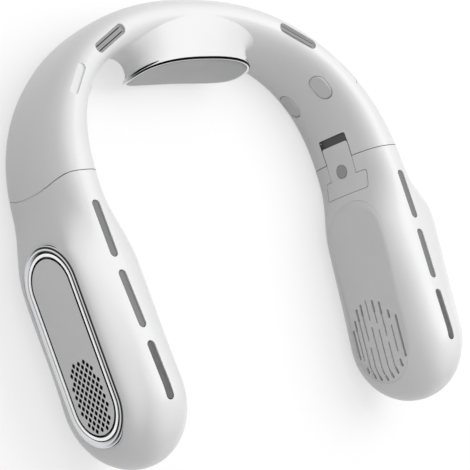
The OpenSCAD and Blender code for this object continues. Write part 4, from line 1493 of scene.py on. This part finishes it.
@dataclass(frozen=True)
class TrimForm:
    """Rings round the outer panel and its holes, in millimetres, from outside in."""

    ring_w: float = 2.6
    crown: float = 0.6
    groove_w: float = 0.3
    bezel_w: float = 1.35
    line_w: float = 0.85
    panel_thick: float = 1.6
    cluster_w: float = 19.0
    cluster_len: float = 29.0
    cluster_y: float = -19.8
    hole_w: float = 1.3
    rows: tuple[int, ...] = (2, 3, 4, 3, 4, 5, 4, 5, 4, 5, 4, 5, 4, 3, 4, 3, 2)
    buttons: tuple[float, ...] = (6.8, 23.8)
    button_r: float = 4.9
    bead_steps: int = 16
    ring_steps: int = 12
    ring_drop: float = 0.35
    hole_half: tuple[float, float] = (0.9, 1.08)
    hole_power: float = 1.5
    hole_steps: int = 12
    cut: tuple[float, float] = (-3.0, 1.0)


TRIM = TrimForm()


@dataclass
class Arm:
    """One arm: housing, cover with its grille, hinge leaf, rings, panel and vents."""

    shop: Workshop
    side: Side
    slots: Slots = field(default_factory=Slots)
    stations: int = 96
    tip_steps: int = 22
    outer: int = 84
    face: int = 28
    trim_depth: float = 5.2
    cover_w: float = 32.4
    cover_len: float = 84.0
    slit_w: float = 1.4
    fine_w: float = 0.8
    grille_r: float = 20.0
    cover_gap: float = 0.16
    cover_reach: float = 3.6
    socket_at: float = 44.475
    socket_size: tuple[float, float] = (3.3, 9.0)
    vent: tuple[tuple[float, float], ...] = ((0.26, -2.2), (0.26, -0.75), (0.4, -0.62), (1.4, -0.62))

    def _complete(self, piece: bpy.types.Object, slot: Slot, node: str,
                  reference: Optional[Reference] = None, edge: float = 32.0) -> None:
        """Moves a piece to its side, shades it and gives it finish and body.

        Args:
            piece: The piece, built on the right.
            slot: Its finish.
            node: CAD node that it stands for, without the side.
            reference: What Bench.reference() gave for the uncut surface.
            edge: Angle in degrees past which an edge is sharp.
        """
        Bench.shade(Bench.mirrored(piece, self.side), reference, edge)
        self.shop.dress(piece, slot, self.side.arm, f"{self.side.word}_{node}")

    def _out_of(self, plane: Matrix) -> Vector:
        """Direction out of a plane, on this side."""
        up = plane.to_3x3() @ Vector((0, 0, 1))
        up.x *= self.side.value
        return up

    def _stations(self, depth: float) -> list[tuple[float, float]]:
        """Stations from inside the band to the tip.

        Args:
            depth: Depth below the outer surface.

        Returns:
            Each station with the depth.
        """
        body = [7.0 - 1.0 * i for i in range(8)]
        run = [-TUBE.straight * i / self.stations for i in range(1, self.stations + 1)]
        tip = [-(TUBE.straight + (TUBE.tip_len - depth) * math.sin(math.pi / 2 * i / self.tip_steps))
               for i in range(1, self.tip_steps + 1)]
        return [(u, depth) for u in body + run + tip]

    def _pod(self) -> bpy.types.Object:
        """Hollow arm, open towards the band.

        Returns:
            The arm, uncut, on the right.
        """
        bm = bmesh.new()
        path = self._stations(0.0)[::-1] + self._stations(TUBE.wall)

        def at(i: int, j: int) -> Vector:
            u, depth = path[i]
            return TUBE.skin(u, depth, TUBE.ring_angle(u, depth, j, self.outer, self.face))

        Bench.grid(bm, len(path) - 1, self.outer + self.face, at, True)
        return Bench.finish(bm, f"{self.side.word}_housing")

    def _cover_tool(self, shrink: float) -> bpy.types.Object:
        """Prism over the inner cover.

        Args:
            shrink: How much narrower and shorter it is than the cover.

        Returns:
            The prism.
        """
        places = self.shop.places
        shape = stadium(self.cover_w - shrink, self.cover_len - shrink, 40)
        return Bench.outline_prism("cover_tool", [shape], -TUBE.wall, self.cover_reach * TUBE.wall,
                                   places.cover(places.cover_at))

    def _slits(self, fine: bool) -> bpy.types.Object:
        """Cutting prisms for the slits of the grille.

        Args:
            fine: Whether they are the fine ones.

        Returns:
            One object with all the prisms.
        """
        lean, r = math.tan(TUBE.panel_pitch), self.grille_r
        width = self.fine_w if fine else self.slit_w
        outlines = []
        for place, runs in GRILLE:
            for low, high, kind in runs:
                if kind is fine:
                    shape = stadium(width, (high - low) * r, 8, place * r, (low + high) / 2 * r)
                    outlines.append([(x + y * lean, y - x * lean) for x, y in shape])
        return Bench.outline_prism("slit_tool", outlines, -TUBE.wall, self.cover_reach * TUBE.wall,
                                   self.shop.places.cover(TUBE.blower_at))

    def build(self) -> None:
        """Builds the arm's shells."""
        places, word = self.shop.places, self.side.word
        pod = self._pod()
        reference = self._mirrored_reference(pod)
        cover = bpy.data.objects.new(f"{word}_cover", pod.data.copy())
        bpy.context.scene.collection.objects.link(cover)
        Bench.cut(cover, [self._cover_tool(self.cover_gap)], "INTERSECT")
        Bench.cut(cover, [self._slits(False), self._slits(True)])
        self._complete(cover, Slot.PALE, "arm_cover", reference)

        tools = [self._cover_tool(0.0),
                 Bench.outline_prism("panel_tool", [stadium(TUBE.trim_w, TUBE.trim_len, 40)],
                                     -self.trim_depth, self.trim_depth, places.panel())]
        tools += self.slots.arm_tools(places)
        tools.append(LeafRecess.tool(0.0, 0.0, LeafRecess.ABOVE, LEAF.thick))
        if self.side is Side.RIGHT:
            tools.append(Bench.outline_prism("socket_tool", [stadium(*self.socket_size)], -TUBE.wall,
                                             2 * TUBE.wall, places.socket(self.socket_at)))
        Bench.cut(pod, tools)
        Bench.cut(pod, [SEAM.tool(0.0)], "INTERSECT")
        self._complete(pod, Slot.WHITE, "arm_housing", reference)

    def build_leaf(self) -> None:
        """Builds the hinge leaf with its screw hole."""
        places = self.shop.places
        leaf = LeafRecess.tool(-LEAF.gap, 0.0, LEAF.lift, LEAF.thick)
        seat = places.wall(LEAF.plug_turn, LEAF.mid_z - LEAF.drop)
        hole = Bench.outline_prism("plug_tool", [circle(LEAF.plug_r + LEAF.plug_gap)],
                                   -LEAF.thick * LEAF.plug_share, TUBE.wall, seat)
        screw = Bench.outline_prism("screw_tool", [circle(LEAF.screw_r)], -TUBE.wall, TUBE.wall, seat)
        Bench.cut(leaf, [hole, screw])
        leaf.name = f"{self.side.word}_leaf"
        self._complete(leaf, Slot.WHITE, "hinge_leaf", edge=25.0)
        self.shop.paint_gap_shadow(leaf, self._out_of(places.wall(LEAF.plug_turn, LEAF.mid_z)), 0.5)

    def build_trim(self) -> None:
        """Builds the plated bead and the white ring round the outer panel, and the panel."""
        t, plane = TRIM, self.shop.places.panel()
        up = self._out_of(plane)
        bead = [(0.0, -self.trim_depth), (0.0, -t.crown)]
        bead += [(t.ring_w / 2 * (1 - math.cos(a)), -t.crown * (1 - math.sin(a)))
                 for a in (math.pi * i / t.bead_steps for i in range(1, t.bead_steps))]
        bead += [(t.ring_w, -t.crown), (t.ring_w, -self.trim_depth)]
        start = t.ring_w + t.groove_w
        end = start + t.bezel_w
        flat = [(start, -t.panel_thick), (start, -t.ring_drop)]
        flat += [(start + t.bezel_w / 2 * (1 - math.cos(a)), -t.ring_drop + t.ring_drop * math.sin(a))
                 for a in (math.pi * i / t.ring_steps for i in range(1, t.ring_steps))]
        flat += [(end, -t.ring_drop), (end, -t.panel_thick)]
        for name, profile, slot, node in (("bead", bead, Slot.CHROME, "trim_ring"),
                                          ("white_ring", flat, Slot.WHITE, "bezel")):
            piece = Bench.layered(f"{self.side.word}_{name}", self._trim_outline, profile, plane, True)
            # The plated bead gets painted dark reflection bands from a stored mask.
            if slot is Slot.CHROME:
                self._paint_bead_reflection(piece, plane)
            self._complete(piece, slot, node, edge=40.0)
            if slot is Slot.WHITE:
                piece.data.materials[0] = self.shop.extras[BRIGHT_RING]
            self.shop.paint_gap_shadow(piece, up, 0.2)
        self._build_panel(plane, up, end + t.line_w)

    @staticmethod
    def _trim_outline(inset: float) -> Outline:
        """Outline of the trim, drawn in."""
        return stadium(TUBE.trim_w - 2 * inset, TUBE.trim_len - 2 * inset, 48)

    @staticmethod
    def _paint_bead_reflection(bead: bpy.types.Object, plane: Matrix) -> None:
        """Stores where the plated bead gets painted dark reflections: two lines along its upper side.

        Args:
            bead: The bead, before it is moved to its side.
            plane: The panel's plane.
        """
        back, out, h = plane.inverted(), plane.to_3x3(), (TUBE.trim_len - TUBE.trim_w) / 2
        bands = bead.data.attributes.new(REFLECTION_MASK, "FLOAT", "POINT")
        for vert, item in zip(bead.data.vertices, bands.data):
            q = (back @ vert.co) / MM
            away = Vector((q.x, q.y - max(-h, min(h, q.y)), 0))
            share = (TUBE.trim_w / 2 - away.length) / TRIM.ring_w
            toward = out @ away.normalized()
            line = max(smooth(share * 5) * smooth((0.5 - share) * 8), smooth((share - 0.62) * 6))
            item.value = line * smooth(0.62 + 1.1 * toward.z + 0.35 * toward.y)

    def _build_panel(self, plane: Matrix, up: Vector, inset: float) -> None:
        """Builds the perforated panel inside the rings.

        Args:
            plane: The panel's plane.
            up: Direction out of the panel on this side.
            inset: Distance from the trim's edge to the panel's edge, in millimetres.
        """
        t = TRIM
        w, length = TUBE.trim_w - 2 * inset, TUBE.trim_len - 2 * inset
        profile = [(0.0, -t.panel_thick), (0.0, -0.2), (0.1, -0.1), (w / 2 - 2, -0.1)]
        panel = Bench.layered(f"{self.side.word}_panel",
                              lambda more: stadium(w - 2 * more, length - 2 * more, 32), profile,
                              plane, False)
        px = (t.cluster_w - t.hole_w) / (2 * max(t.rows) + 1)
        py = (t.cluster_len - t.hole_w) / len(t.rows)
        holes = []
        for i, reach in enumerate(t.rows):
            for j in range(-reach, reach + 1, 2):
                x, y = j * px, t.cluster_y + ((len(t.rows) - 1) / 2 - i) * py
                holes.append([(x + t.hole_half[0] * spow(math.cos(a), t.hole_power),
                               y + t.hole_half[1] * spow(math.sin(a), t.hole_power))
                              for a in (math.tau * k / t.hole_steps for k in range(t.hole_steps))])
        tools = [Bench.outline_prism("hole_tool", holes, *t.cut, plane)]
        if self.side is Side.RIGHT:
            rounds = [circle(t.button_r, 0.0, y) for y in t.buttons]
            tools.append(Bench.outline_prism("button_tool", rounds, *t.cut, plane))
        Bench.cut(panel, tools)
        self._complete(panel, Slot.PANEL, "outer_panel", edge=30.0)
        self.shop.paint_gap_shadow(panel, up)

    def build_vents(self) -> None:
        """Builds the plates in the three slots along the crest."""
        s = self.slots
        for k in range(s.count):
            plate = Bench.layered(f"{self.side.word}_slot_plate_{k}",
                                  lambda inset: stadium(s.arm_w - 2 * inset, s.arm_len - 2 * inset),
                                  self.vent, self.shop.places.crest(s.arm_station(k), 0), False)
            self._complete(plate, Slot.VENT, "arm_vents")
            # The slot plate nearest the tip gets the darker vent finish: painted shade.
            if k == s.count - 1:
                plate.data.materials[0] = self.shop.extras[SHADED_VENT]

    def _mirrored_reference(self, pod: bpy.types.Object) -> Reference:
        """Uncut surface on this side.

        Args:
            pod: The uncut arm, built on the right.

        Returns:
            What Bench.reference() gives for it.
        """
        copy = bpy.data.objects.new("uncut", pod.data.copy())
        Bench.mirrored(copy, self.side)
        kept = Bench.reference(copy)
        bpy.data.objects.remove(copy)
        return kept


@dataclass
class CadDress:
    """Finishes of the CAD nodes that stay as they are."""

    shop: Workshop

    def build(self) -> None:
        """Gives every CAD node the finish of its slot."""
        for entry in frame["record"]["subparts"]:
            obj = frame["nodes"][entry["node"]]
            slot = Slot(entry["material_slot"])
            if not obj.material_slots:
                obj.data.materials.append(self.shop.materials[slot])
            for holder in obj.material_slots:
                holder.link = "OBJECT"
                holder.material = self.shop.materials[slot]
                if entry["node"].endswith("leaf_plug"):
                    holder.material = self.shop.extras[PLUG_GREY]


@dataclass
class Studio:
    """Floor, lights and camera."""

    lens: float = 126.372
    place: Point = (-0.484192, -0.101431, 0.518791)
    facing: tuple[float, float, float, float] = (0.9199307, 0.1084587, -0.3653134, -0.0922513)
    sensor: float = 36.0
    near: float = 0.01
    floor_tone: float = 0.42
    floor_glow: float = 0.62
    floor_size: float = 3.0
    floor_drop: float = 0.0002
    horizon: tuple[float, float] = (0.1, 0.95)
    sky: tuple[float, float] = (0.6, 1.0)
    sky_strength: float = 0.69
    lamps: tuple[tuple[str, Point, tuple[float, float], float], ...] = (
        ("top_lamp", (0.5, 0.15, 1.0), (0.8, 0.8), 4.8),
        ("strip_lamp", (-0.15, 0.25, 1.1), (0.12, 1.0), 0.8))

    def _floor(self) -> None:
        """Plain pale floor, white to the camera, which keeps the fan's soft shadow."""
        bm = bmesh.new()
        bmesh.ops.create_grid(bm, x_segments=1, y_segments=1, size=self.floor_size)
        floor = Bench.keep(bm, "floor")
        floor.location.z = -self.floor_drop
        mat = bpy.data.materials.new("floor_white")
        mat.use_nodes = True
        nodes, links = mat.node_tree.nodes, mat.node_tree.links
        shader = nodes["Principled BSDF"]
        fill(shader, {"Base Color": (self.floor_tone, self.floor_tone, self.floor_tone, 1),
                      "Roughness": 0.9, "Specular IOR Level": 0.0})
        glow = nodes.new("ShaderNodeEmission")
        glow.inputs["Strength"].default_value = self.floor_glow
        path = nodes.new("ShaderNodeLightPath")
        add = nodes.new("ShaderNodeAddShader")
        mix = nodes.new("ShaderNodeMixShader")
        seen = compute(mat.node_tree, "MAXIMUM", path.outputs["Is Camera Ray"],
                       path.outputs["Is Glossy Ray"])
        links.new(shader.outputs[0], add.inputs[0])
        links.new(glow.outputs[0], add.inputs[1])
        links.new(seen, mix.inputs[0])
        links.new(shader.outputs[0], mix.inputs[1])
        links.new(add.outputs[0], mix.inputs[2])
        links.new(mix.outputs[0], nodes["Material Output"].inputs["Surface"])
        floor.data.materials.append(mat)

    @staticmethod
    def _lamp(name: str, place: Point, size: tuple[float, float], power: float) -> None:
        """One soft area lamp, aimed at the middle.

        Args:
            name: Name of the lamp.
            place: Where it hangs, in metres.
            size: Its two sides in metres.
            power: Its power in watts.
        """
        data = bpy.data.lights.new(name, "AREA")
        data.shape = "RECTANGLE"
        data.size, data.size_y = size
        data.energy = power
        lamp = bpy.data.objects.new(name, data)
        lamp.location = place
        lamp.rotation_euler = (Vector() - Vector(place)).to_track_quat("-Z", "Y").to_euler()
        bpy.context.scene.collection.objects.link(lamp)

    def _build_sky(self) -> None:
        """Soft surroundings, bright overhead, darker towards the horizon, white to the camera."""
        world = bpy.data.worlds.new("soft_studio")
        world.use_nodes = True
        nodes, links = world.node_tree.nodes, world.node_tree.links
        where = nodes.new("ShaderNodeTexCoord")
        split = nodes.new("ShaderNodeSeparateXYZ")
        ramp = nodes.new("ShaderNodeMapRange")
        fill(ramp, {"From Min": self.horizon[0], "From Max": self.horizon[1],
                    "To Min": self.sky[0], "To Max": self.sky[1]})
        links.new(where.outputs["Generated"], split.inputs[0])
        links.new(split.outputs["Z"], ramp.inputs["Value"])
        bright = compute(world.node_tree, "MULTIPLY", ramp.outputs["Result"], self.sky_strength)
        path = nodes.new("ShaderNodeLightPath")
        seen = compute(world.node_tree, "MAXIMUM", bright, path.outputs["Is Camera Ray"])
        links.new(seen, nodes["Background"].inputs["Strength"])
        nodes["Background"].inputs["Color"].default_value = (1, 1, 1, 1)
        bpy.context.scene.world = world

    def build(self) -> None:
        """Builds the stage."""
        scene = bpy.context.scene
        scene.view_settings.view_transform = "Standard"
        self._floor()
        self._build_sky()
        for lamp in self.lamps:
            self._lamp(*lamp)
        data = bpy.data.cameras.new("camera")
        data.lens = self.lens
        data.sensor_width = self.sensor
        data.clip_start = self.near
        camera = bpy.data.objects.new("camera", data)
        camera.location = self.place
        camera.rotation_mode = "QUATERNION"
        camera.rotation_quaternion = Quaternion(self.facing)
        scene.collection.objects.link(camera)
        scene.camera = camera


def main() -> None:
    """Builds the fan and its stage."""
    logging.basicConfig(level=logging.INFO, format="%(message)s")
    effects = EffectLibrary()
    shop = Workshop({finish.slot: finish.material(effects) for finish in FINISHES},
                    {finish: finish.material(effects) for finish in EXTRAS})
    Studio().build()
    CadDress(shop).build()
    Band(shop).build()
    for side in Side:
        arm = Arm(shop, side)
        arm.build()
        arm.build_leaf()
        arm.build_trim()
        arm.build_vents()


if __name__ == "__main__":
    main()
